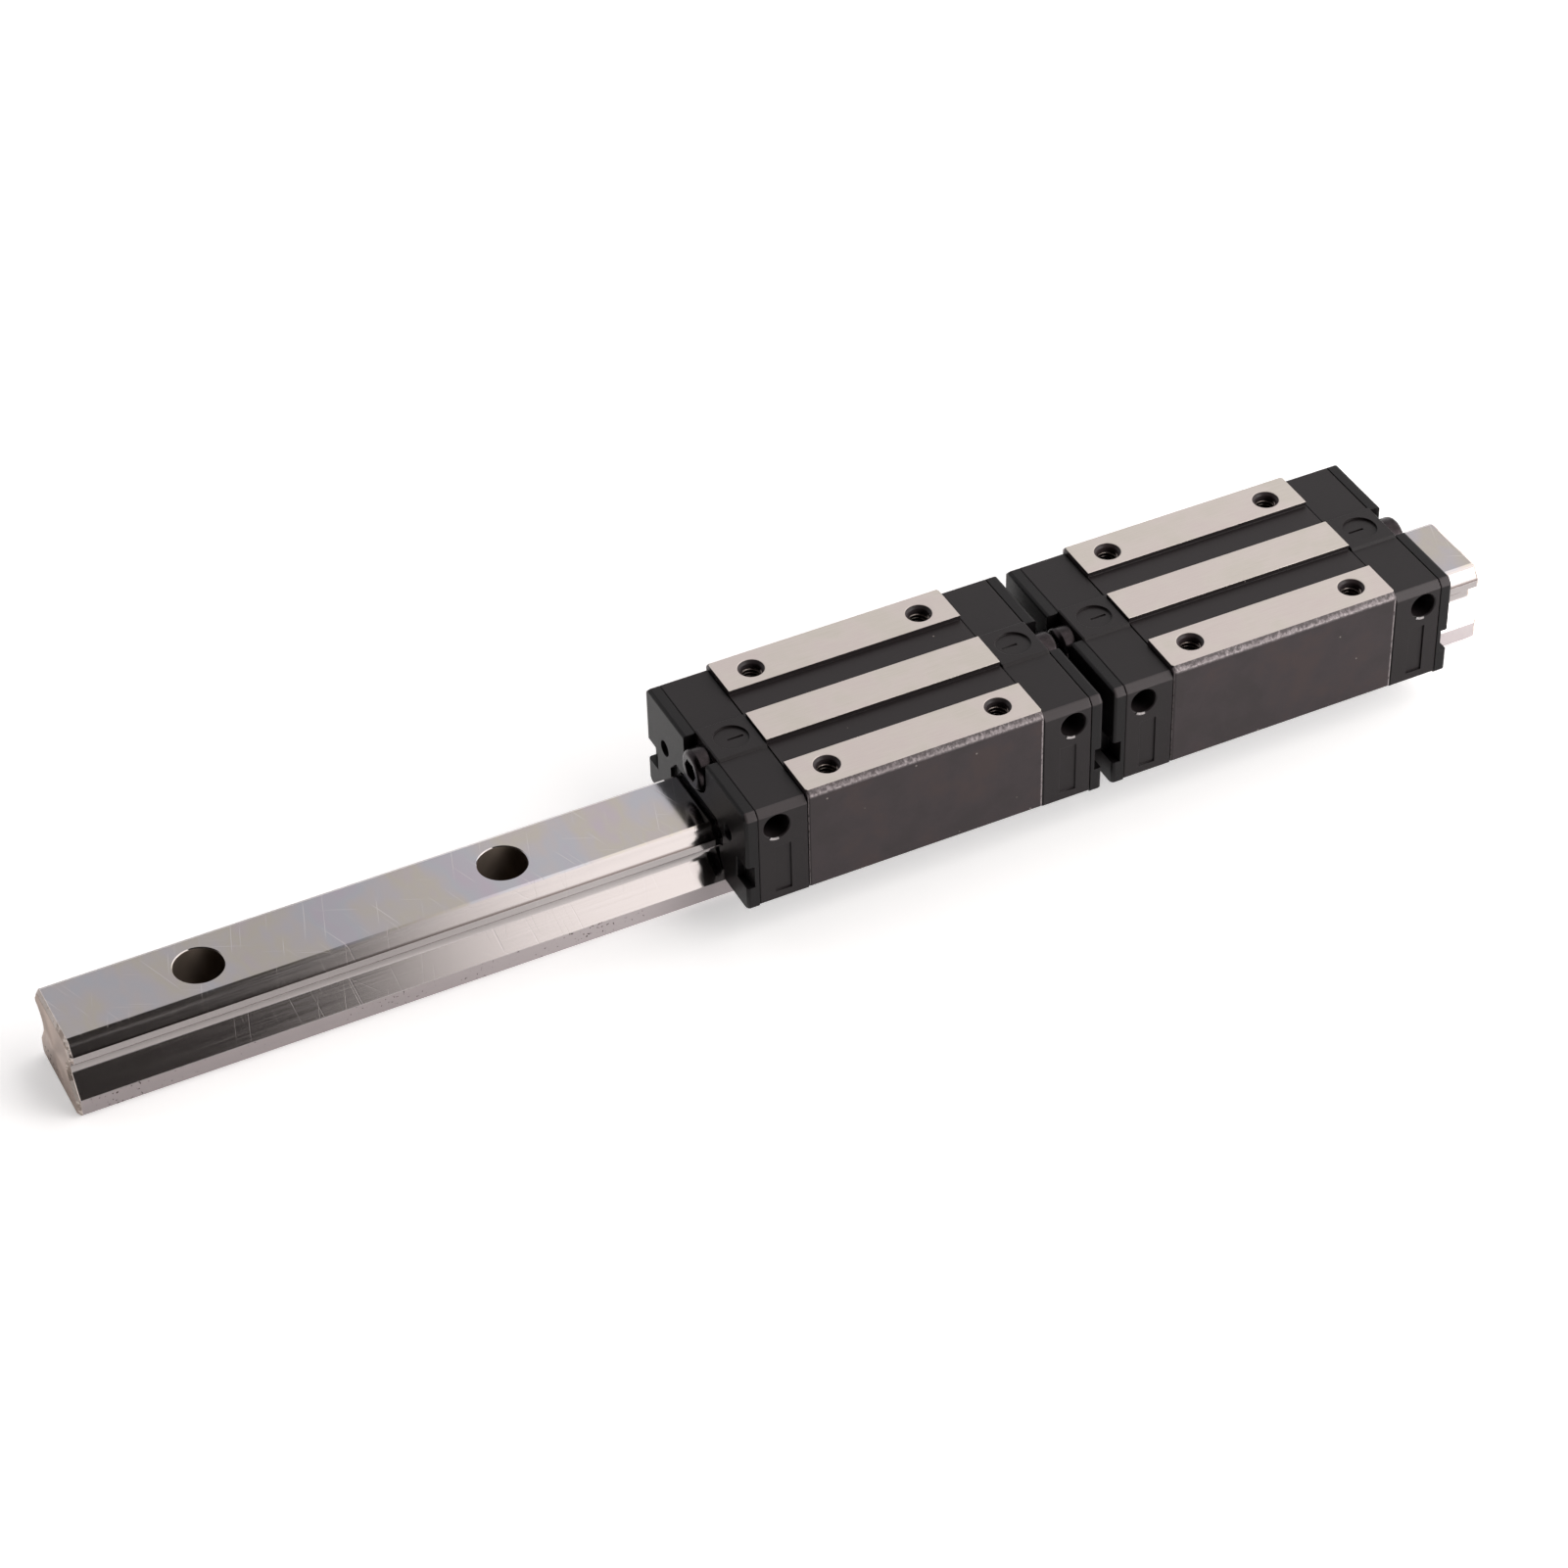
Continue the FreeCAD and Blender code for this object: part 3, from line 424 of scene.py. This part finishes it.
def block_ends(tree, along):
    """Mask of the painted highlights on the blocks' upright end edges: a thin faint line at "a" and a wider
    one at "b".
    """
    ends = None
    for middle in BLOCK_MIDDLES.values():
        off = add(tree, "ShaderNodeMath", {0: along, 1: middle}, operation="SUBTRACT").outputs[0]
        thin = {"Value": off, "From Min": 0.18 - BLOCK_REACH, "From Max": 0.08 - BLOCK_REACH, "To Max": 0.7}
        thin = add(tree, "ShaderNodeMapRange", thin).outputs[0]
        wide = {"Value": off, "From Min": BLOCK_REACH - 0.6, "From Max": BLOCK_REACH - 0.45}
        wide = add(tree, "ShaderNodeMapRange", wide).outputs[0]
        both = add(tree, "ShaderNodeMath", {0: thin, 1: wide}, operation="MAXIMUM").outputs[0]
        off = add(tree, "ShaderNodeMath", {0: off}, operation="ABSOLUTE").outputs[0]
        own = {"Value": off, "From Min": BLOCK_REACH + 0.4, "From Max": BLOCK_REACH + 0.3}
        own = add(tree, "ShaderNodeMapRange", own).outputs[0]
        both = add(tree, "ShaderNodeMath", {0: both, 1: own}, operation="MULTIPLY").outputs[0]
        if ends is None:
            ends = both
        else:
            ends = add(tree, "ShaderNodeMath", {0: ends, 1: both}, operation="MAXIMUM").outputs[0]
    return ends


def block_chamfers(tree, up, out):
    """Mask of the blocks' upper long chamfers."""
    high = {"Value": up, "From Min": BLOCK_TOP - 1.5, "From Max": BLOCK_TOP - 0.95}
    high = add(tree, "ShaderNodeMapRange", high).outputs[0]
    outside = {"Value": out, "From Min": BLOCK_SIDE - 1.1, "From Max": BLOCK_SIDE - 1.02}
    outside = add(tree, "ShaderNodeMapRange", outside).outputs[0]
    return add(tree, "ShaderNodeMath", {0: high, 1: outside}, operation="MULTIPLY").outputs[0]


def block_bare_and_highlight(tree, split, out, wear, edge):
    """A rough half-bare band of worn steel on the chamfers, and painted highlight lines on the upright end
    edges.
    """
    # The band is barest along its lower edge
    lower = {"Value": split["Z"], "From Min": BLOCK_TOP - 0.3, "From Max": BLOCK_TOP - 0.9, "To Max": 0.16}
    lower = add(tree, "ShaderNodeMapRange", lower).outputs[0]
    worn = add(tree, "ShaderNodeMath", {0: wear, 1: lower}).outputs[0]
    band = {"Value": worn, "From Min": 0.5, "From Max": 0.78, "To Min": 0.2}
    band = add(tree, "ShaderNodeMapRange", band).outputs[0]
    band = add(tree, "ShaderNodeMath", {0: band, 1: edge}, operation="MULTIPLY").outputs[0]
    # Painted highlight lines on the upright end edges, broken into uneven lengths by the wear noise
    painted_edge_highlight = add(tree, "ShaderNodeMapRange", {"Value": wear, "From Min": 0.38, "From Max": 0.5}).outputs[0]
    ends = block_ends(tree, split["X"])
    side = {"Value": out, "From Min": BLOCK_SIDE - 0.6, "From Max": BLOCK_SIDE - 0.4}
    side = add(tree, "ShaderNodeMapRange", side).outputs[0]
    painted_edge_highlight = add(tree, "ShaderNodeMath", {0: painted_edge_highlight, 1: ends}, operation="MULTIPLY").outputs[0]
    painted_edge_highlight = add(tree, "ShaderNodeMath", {0: painted_edge_highlight, 1: side}, operation="MULTIPLY").outputs[0]
    return add(tree, "ShaderNodeMath", {0: band, 1: painted_edge_highlight}, operation="MAXIMUM").outputs[0]


def block_finish():
    """Black oxide on steel with three ground lands.

    The oxide is a warm near-black satin with a few light specks. The lands are bright bare steel with
    fine grinding lines along them, and the long upper edges show a rough, half-bare band.
    """
    material, tree, shader, place = new_material("black_oxide_steel_with_ground_lands")
    split = add(tree, "ShaderNodeSeparateXYZ", {0: place}).outputs
    out = add(tree, "ShaderNodeMath", {0: split["Y"]}, operation="ABSOLUTE").outputs[0]
    land = {"Value": split["Z"], "From Min": BLOCK_TOP - 0.07, "From Max": BLOCK_TOP - 0.03}
    land = add(tree, "ShaderNodeMapRange", land).outputs[0]
    edge = block_chamfers(tree, split["Z"], out)
    stretch = {0: place, 1: (1.6, 1.1, 1.1)}
    stretched = add(tree, "ShaderNodeVectorMath", stretch, operation="MULTIPLY").outputs[0]
    wear = {"Vector": stretched, "Scale": 1.0, "Detail": 5.0, "Roughness": 0.75}
    wear = add(tree, "ShaderNodeTexNoise", wear).outputs[0]
    # bare holds worn steel on the chamfers and painted highlight lines on the upright end edges
    bare = block_bare_and_highlight(tree, split, out, wear, edge)
    # Inside the two channels the oxide is unworn and darker
    deep = {"Value": out, "From Min": CHANNEL_SIDE + 0.25, "From Max": CHANNEL_SIDE + 0.05}
    deep = add(tree, "ShaderNodeMapRange", deep).outputs[0]

    # Oxide: mottled over some 10 mm, with specks about 0.3 mm wide
    mottle = {"Vector": place, "Scale": 0.12, "Detail": 4.0, "Roughness": 0.6}
    mottle = add(tree, "ShaderNodeTexNoise", mottle).outputs[0]
    oxide = add(tree, "ShaderNodeValToRGB", {0: mottle})
    set_ramp(oxide, OXIDE_COLOURS)
    speck = add(tree, "ShaderNodeTexVoronoi", {"Vector": place, "Scale": 0.25}).outputs["Distance"]
    speck = add(tree, "ShaderNodeMapRange", {"Value": speck, "From Min": 0.06, "From Max": 0.035}).outputs[0]

    # Lands: grinding lines drawn about 0.25 mm wide over soft straw and mauve patches some 8 mm wide
    stretch = {0: place, 1: (0.15, 4.0, 4.0)}
    stretched = add(tree, "ShaderNodeVectorMath", stretch, operation="MULTIPLY").outputs[0]
    lines = {"Vector": stretched, "Scale": 1.0, "Detail": 4.0, "Roughness": 0.75}
    lines = add(tree, "ShaderNodeTexNoise", lines).outputs[0]
    patch = add(tree, "ShaderNodeTexNoise", {"Vector": place, "Scale": 0.12, "Detail": 2.0}).outputs[0]
    ground = add(tree, "ShaderNodeValToRGB", {0: patch})
    set_ramp(ground, LAND_COLOURS)
    lined = {0: lines, 6: ground.outputs[0], 7: colour("#cac2bd")}
    ground = add(tree, "ShaderNodeMix", lined, data_type="RGBA").outputs[2]

    shade = oxide.outputs[0]
    for mask, code in ((deep, "#262122"), (speck, "#7d7470"), (bare, "#948c8d")):
        layer = {0: mask, 6: shade, 7: colour(code)}
        shade = add(tree, "ShaderNodeMix", layer, data_type="RGBA").outputs[2]
    shade = add(tree, "ShaderNodeMix", {0: land, 6: shade, 7: ground}, data_type="RGBA").outputs[2]
    tree.links.new(shade, shader.inputs["Base Color"])
    metal = add(tree, "ShaderNodeMath", {0: bare, 1: land}, operation="MAXIMUM").outputs[0]
    tree.links.new(metal, shader.inputs["Metallic"])
    shader.inputs["Specular IOR Level"].default_value = 0.2
    rough = add(tree, "ShaderNodeMix", {0: bare, 2: 0.4, 3: 0.5}).outputs[0]
    rough = add(tree, "ShaderNodeMix", {0: land, 2: rough, 3: 0.42}).outputs[0]
    tree.links.new(rough, shader.inputs["Roughness"])

    relief = add(tree, "ShaderNodeMath", {0: wear, 1: edge}, operation="MULTIPLY").outputs[0]
    relief = add(tree, "ShaderNodeMath", {0: lines, 1: 0.12, 2: relief}, operation="MULTIPLY_ADD").outputs[0]
    bump = add(tree, "ShaderNodeBump", {"Height": relief, "Distance": 0.12 * MM, "Strength": 0.6}).outputs[0]
    tree.links.new(bump, shader.inputs["Normal"])
    return material


# The small parts' materials

# How much paler the flow marks are than the nylon, and how far its sheen varies with its grain
FLOW_PALER = 1.25
GRAIN_SHEEN = 0.06


def seam_shadow_mask(tree, along):
    """Mask of the painted shadow in the seams beside the steel bodies, drawn 0.25 mm wide so that it shows.
    """
    offs = []
    for middle in BLOCK_MIDDLES.values():
        off = add(tree, "ShaderNodeMath", {0: along, 1: middle}, operation="SUBTRACT").outputs[0]
        offs.append(add(tree, "ShaderNodeMath", {0: off}, operation="ABSOLUTE").outputs[0])
    nearest = add(tree, "ShaderNodeMath", {0: offs[0], 1: offs[1]}, operation="MINIMUM").outputs[0]
    gap_shadow = {"Value": nearest, "From Min": BLOCK_REACH + 0.3, "From Max": BLOCK_REACH + 0.2}
    return add(tree, "ShaderNodeMapRange", gap_shadow).outputs[0]


def moulding(name, code, sheen):
    """Black glass-filled nylon, moulded: nearly matt, with a grain about 0.3 mm wide and faint flow marks.

    The caps' upper long chamfers carry a painted grey highlight, and their seams at the steel bodies a
    painted shadow, drawn as black lines.
    """
    material, tree, shader, place = new_material(name)
    flow = add(tree, "ShaderNodeTexNoise", {"Vector": place, "Scale": 0.15, "Detail": 3.0}).outputs[0]
    base = colour(code)
    pale = [min(1.0, part * FLOW_PALER) for part in base[:3]] + [1.0]
    shade = add(tree, "ShaderNodeMix", {0: flow, 6: base, 7: pale}, data_type="RGBA").outputs[2]
    split = add(tree, "ShaderNodeSeparateXYZ", {0: place}).outputs
    out = add(tree, "ShaderNodeMath", {0: split["Y"]}, operation="ABSOLUTE").outputs[0]
    out_and_up = add(tree, "ShaderNodeMath", {0: out, 1: split["Z"]}).outputs[0]
    # Painted highlight: the upper long chamfers drawn grey
    painted_edge_highlight = {"Value": out_and_up, "From Min": CAP_CHAMFER - 0.3, "From Max": CAP_CHAMFER - 0.1}
    painted_edge_highlight = add(tree, "ShaderNodeMapRange", painted_edge_highlight).outputs[0]
    # Painted shadow: the seams beside the steel bodies drawn black
    for mask, code in ((painted_edge_highlight, "#423d3e"), (seam_shadow_mask(tree, split["X"]), "#050404")):
        layer = {0: mask, 6: shade, 7: colour(code)}
        shade = add(tree, "ShaderNodeMix", layer, data_type="RGBA").outputs[2]
    tree.links.new(shade, shader.inputs["Base Color"])
    shader.inputs["Specular IOR Level"].default_value = 0.18
    grain = {"Vector": place, "Scale": 3.2, "Detail": 3.0, "Roughness": 0.65}
    grain = add(tree, "ShaderNodeTexNoise", grain).outputs[0]
    rough = {"Value": grain, "To Min": sheen - GRAIN_SHEEN, "To Max": sheen + GRAIN_SHEEN}
    rough = add(tree, "ShaderNodeMapRange", rough).outputs[0]
    tree.links.new(rough, shader.inputs["Roughness"])
    bump = add(tree, "ShaderNodeBump", {"Height": grain, "Distance": 0.03 * MM, "Strength": 0.5}).outputs[0]
    tree.links.new(bump, shader.inputs["Normal"])
    return material


def oxide_finish():
    """Black oxide on turned steel: dark, smooth and shiny, with worn bright spots."""
    material, tree, shader, place = new_material("black_oxide_turned_steel")
    wear = add(tree, "ShaderNodeTexNoise", {"Vector": place, "Scale": 0.8, "Detail": 3.0}).outputs[0]
    shade = add(tree, "ShaderNodeValToRGB", {0: wear})
    set_ramp(shade, [(0.4, "#2c2829"), (0.65, "#353032"), (0.8, "#565050")])
    tree.links.new(shade.outputs[0], shader.inputs["Base Color"])
    shader.inputs["Metallic"].default_value = 1.0
    rough = add(tree, "ShaderNodeMapRange", {"Value": wear, "To Min": 0.2, "To Max": 0.36}).outputs[0]
    tree.links.new(rough, shader.inputs["Roughness"])
    return material


def ball_finish():
    """Polished bearing balls: bright chromium steel."""
    material, tree, shader, place = new_material("polished_ball_steel")
    wear = add(tree, "ShaderNodeTexNoise", {"Vector": place, "Scale": 0.6, "Detail": 2.0}).outputs[0]
    rough = add(tree, "ShaderNodeMapRange", {"Value": wear, "To Min": 0.06, "To Max": 0.14}).outputs[0]
    tree.links.new(rough, shader.inputs["Roughness"])
    shader.inputs["Base Color"].default_value = colour("#d4d2d0")
    shader.inputs["Metallic"].default_value = 1.0
    return material


def thread_finish():
    """Freshly cut steel with a little oil on it: brown-grey, with glints along the crests."""
    material, tree, shader, place = new_material("oily_cut_steel")
    wear = add(tree, "ShaderNodeTexNoise", {"Vector": place, "Scale": 1.5, "Detail": 3.0}).outputs[0]
    shade = add(tree, "ShaderNodeValToRGB", {0: wear})
    set_ramp(shade, [(0.35, "#6f645f"), (0.6, "#9a908b")])
    tree.links.new(shade.outputs[0], shader.inputs["Base Color"])
    shader.inputs["Metallic"].default_value = 1.0
    rough = add(tree, "ShaderNodeMapRange", {"Value": wear, "To Min": 0.22, "To Max": 0.38}).outputs[0]
    tree.links.new(rough, shader.inputs["Roughness"])
    return material


def port_glint_finish():
    """Pale nylon for the painted highlights at the front ports' lips, which stand for the glint on each rim.
    """
    material, tree, shader, place = new_material("pale_nylon_painted_glint")
    wear = add(tree, "ShaderNodeTexNoise", {"Vector": place, "Scale": 2.0, "Detail": 3.0}).outputs[0]
    shade = add(tree, "ShaderNodeValToRGB", {0: wear})
    set_ramp(shade, [(0.35, "#8d8787"), (0.65, "#b0abab")])
    tree.links.new(shade.outputs[0], shader.inputs["Base Color"])
    shader.inputs["Roughness"].default_value = 0.45
    bump = add(tree, "ShaderNodeBump", {"Height": wear, "Distance": 0.05 * MM, "Strength": 0.5}).outputs[0]
    tree.links.new(bump, shader.inputs["Normal"])
    return material


RAIL_STEEL = rail_finish()
BLOCK_STEEL = block_finish()
CAP_NYLON = moulding("black_glass_filled_nylon", "#1f1b1c", 0.34)
SEAL_NYLON = moulding("black_nylon_seal_plate", "#100e0f", 0.4)
OXIDE_STEEL = oxide_finish()
BALL_STEEL = ball_finish()
THREAD_STEEL = thread_finish()
GLINT_NYLON = port_glint_finish()

FINISHES = {
    "rail": RAIL_STEEL,
    "block": BLOCK_STEEL,
    "cap": CAP_NYLON,
    "seal": SEAL_NYLON,
    "plug": OXIDE_STEEL,
    "screw": OXIDE_STEEL,
    "balls": BALL_STEEL,
}


def kind_of(name):
    """Which sort of part a node is: its word in FINISHES."""
    return next(word for word in FINISHES if word in name)


def side_of(name):
    """The body that a node belongs to."""
    return next((f"{side}_carriage" for side in SIDES if name.startswith(side)), "rail")


def dress(piece, material):
    piece.data.materials.clear()
    piece.data.materials.append(material)


for name, node in nodes.items():
    dress(node, FINISHES[kind_of(name)])


# Edges: every part but the balls is redrawn with its sharp edges broken as the real one's are

# Width of the rounding in millimetres, and the least turn in degrees that is an edge.
# The rail's profile has blunt edges of 26 and 34 degrees.
EDGES = {
    "rail": (0.12, 20),
    "block": (0.12, 40),
    "cap": (0.25, 40),
    "seal": (0.25, 40),
    "plug": (0.12, 40),
    "screw": (0.1, 40),
}
SAME_POINT = 0.001
FLAT_TURN = 0.5
SMOOTH_TURN = 50
# How near a corner lies to the shoulder's edge to count as part of it, in millimetres
NEAR_EDGE = 0.02


def select_only(piece):
    bpy.ops.object.select_all(action="DESELECT")
    piece.select_set(True)
    bpy.context.view_layer.objects.active = piece


def grind_shoulders(rail):
    """Draws the upper edge of both shoulders in, so that their flat faces lean back six degrees more."""
    bpy.ops.object.mode_set(mode="EDIT")
    bpy.ops.mesh.select_mode(type="VERT")
    bpy.ops.mesh.select_all(action="DESELECT")
    bpy.ops.object.mode_set(mode="OBJECT")
    for corner in rail.data.vertices:
        away = math.hypot(abs(corner.co.y) / MM - SHOULDER_OUT, corner.co.z / MM - SHOULDER_UP)
        corner.select = away < NEAR_EDGE
    bpy.ops.object.mode_set(mode="EDIT")
    bpy.ops.transform.resize(value=(1, SHOULDER_GROUND / SHOULDER_OUT, 1), center_override=(0, 0, 0))
    bpy.ops.object.mode_set(mode="OBJECT")


def soften(name, width, least_turn):
    """Redraws a solid with its flat faces whole and its sharp edges rounded."""
    piece = nodes[name].copy()
    piece.data = nodes[name].data.copy()
    piece.name = f"{name}_finished"
    piece.parent = None
    bpy.context.scene.collection.objects.link(piece)
    select_only(piece)
    bpy.ops.object.mode_set(mode="EDIT")
    bpy.ops.mesh.select_all(action="SELECT")
    bpy.ops.mesh.remove_doubles(threshold=SAME_POINT * MM)
    bpy.ops.mesh.dissolve_limited(angle_limit=math.radians(FLAT_TURN))
    bpy.ops.object.mode_set(mode="OBJECT")
    if name == "rail":
        grind_shoulders(piece)
    rounding = piece.modifiers.new("edges", "BEVEL")
    rounding.width = width * MM
    rounding.segments = 2
    rounding.limit_method = "ANGLE"
    rounding.angle_limit = math.radians(least_turn)
    bpy.ops.object.modifier_apply(modifier="edges")
    bpy.ops.object.shade_smooth_by_angle(angle=math.radians(SMOOTH_TURN))
    flats = piece.modifiers.new("flats", "WEIGHTED_NORMAL")
    flats.keep_sharp = True
    bpy.ops.object.modifier_apply(modifier="flats")
    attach(piece, side_of(name))
    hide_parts(name)


for name in nodes:
    if kind_of(name) in EDGES:
        soften(name, *EDGES[kind_of(name)])


# Threads in the eight tapped holes

THREAD_PITCH = 0.8
THREAD_TURNS = 9
TURN_STEPS = 32
# Where the coil starts, and how far from the hole's axis its ridge runs and how thick it is
THREAD_FOOT = 21.6
RIDGE_MIDDLE = 1.98
RIDGE_RADIUS = 0.3


def thread_coil():
    """Metric thread for one tapped hole: a three-sided ridge that winds up from 21.3 to 29.1 mm."""
    bpy.ops.object.select_all(action="DESELECT")
    bpy.ops.mesh.primitive_circle_add(vertices=3, radius=RIDGE_RADIUS * MM, location=(0, 0, 0))
    coil = bpy.context.object
    bpy.ops.object.mode_set(mode="EDIT")
    bpy.ops.mesh.select_all(action="SELECT")
    # The ridge's section stands upright with its tip towards the hole's axis
    bpy.ops.transform.rotate(value=math.radians(90), orient_axis="X", center_override=(0, 0, 0))
    bpy.ops.transform.rotate(value=math.radians(-90), orient_axis="Y", center_override=(0, 0, 0))
    bpy.ops.transform.translate(value=(RIDGE_MIDDLE * MM, 0, THREAD_FOOT * MM))
    bpy.ops.object.mode_set(mode="OBJECT")
    wind = coil.modifiers.new("wind", "SCREW")
    wind.axis = "Z"
    wind.screw_offset = THREAD_PITCH * MM
    wind.iterations = THREAD_TURNS
    wind.steps = TURN_STEPS
    wind.render_steps = TURN_STEPS
    wind.use_normal_calculate = True
    wind.use_merge_vertices = False
    bpy.ops.object.modifier_apply(modifier="wind")
    bpy.ops.object.mode_set(mode="EDIT")
    bpy.ops.mesh.select_all(action="SELECT")
    bpy.ops.mesh.fill_holes(sides=3)
    bpy.ops.mesh.select_all(action="SELECT")
    bpy.ops.mesh.normals_make_consistent(inside=False)
    bpy.ops.object.mode_set(mode="OBJECT")
    return coil


def place_copy(master, name, place):
    """A copy with its own mesh, moved to its place in millimetres."""
    piece = master.copy()
    piece.data = master.data.copy()
    piece.name = name
    bpy.context.scene.collection.objects.link(piece)
    piece.location = Vector(place) * MM
    select_only(piece)
    bpy.ops.object.transform_apply(location=True, rotation=False, scale=False)
    return piece


coil = thread_coil()
dress(coil, THREAD_STEEL)
for side, middle in BLOCK_MIDDLES.items():
    for end, along in ENDS.items():
        for face, across in FACES.items():
            place = (middle + along * TAP_ALONG, across * TAP_ACROSS, 0)
            ridge = place_copy(coil, f"{side}_thread_{face}_{end}", place)
            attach(ridge, f"{side}_carriage")
bpy.data.objects.remove(coil)


# Painted highlights: a short pale arc at the lower left of each front port, standing for the glint on its rim

LIP_WIDTH = 0.5
LIP_THICKNESS = 0.2
LIP_ROUNDING = 0.06
LIP_RADIUS = 2.85
LIP_OUT = 21.84
# Where on the rim it starts and how far it runs, in degrees
LIP_START = -85
LIP_SWEEP = -38
LIP_STEPS = 12
LIP_EDGE_TURN = 40


def port_glint():
    """A strip that follows a port's rim through 38 degrees, round an axis along Y."""
    bpy.ops.object.select_all(action="DESELECT")
    bpy.ops.mesh.primitive_plane_add(size=1 * MM, location=(0, 0, 0))
    glint_strip = bpy.context.object
    bpy.ops.object.mode_set(mode="EDIT")
    bpy.ops.mesh.select_all(action="SELECT")
    bpy.ops.transform.resize(value=(LIP_WIDTH, LIP_THICKNESS, 1))
    bpy.ops.mesh.bevel(offset=LIP_ROUNDING * MM, segments=2, affect="VERTICES")
    bpy.ops.transform.translate(value=(LIP_RADIUS * MM, 0, 0))
    bpy.ops.transform.rotate(value=math.radians(LIP_START), orient_axis="Y", center_override=(0, 0, 0))
    bpy.ops.mesh.spin(steps=LIP_STEPS, angle=math.radians(LIP_SWEEP), center=(0, 0, 0), axis=(0, 1, 0))
    bpy.ops.mesh.select_all(action="SELECT")
    bpy.ops.mesh.normals_make_consistent(inside=False)
    bpy.ops.object.mode_set(mode="OBJECT")
    bpy.ops.object.shade_smooth_by_angle(angle=math.radians(LIP_EDGE_TURN))
    return glint_strip


glint_strip = port_glint()
dress(glint_strip, GLINT_NYLON)
for side, middle in BLOCK_MIDDLES.items():
    for end, along in ENDS.items():
        place = (middle + along * PORT_ALONG, -LIP_OUT, PORT_UP)
        strip = place_copy(glint_strip, f"{side}_port_glint_{end}", place)
        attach(strip, f"{side}_carriage")
bpy.data.objects.remove(glint_strip)
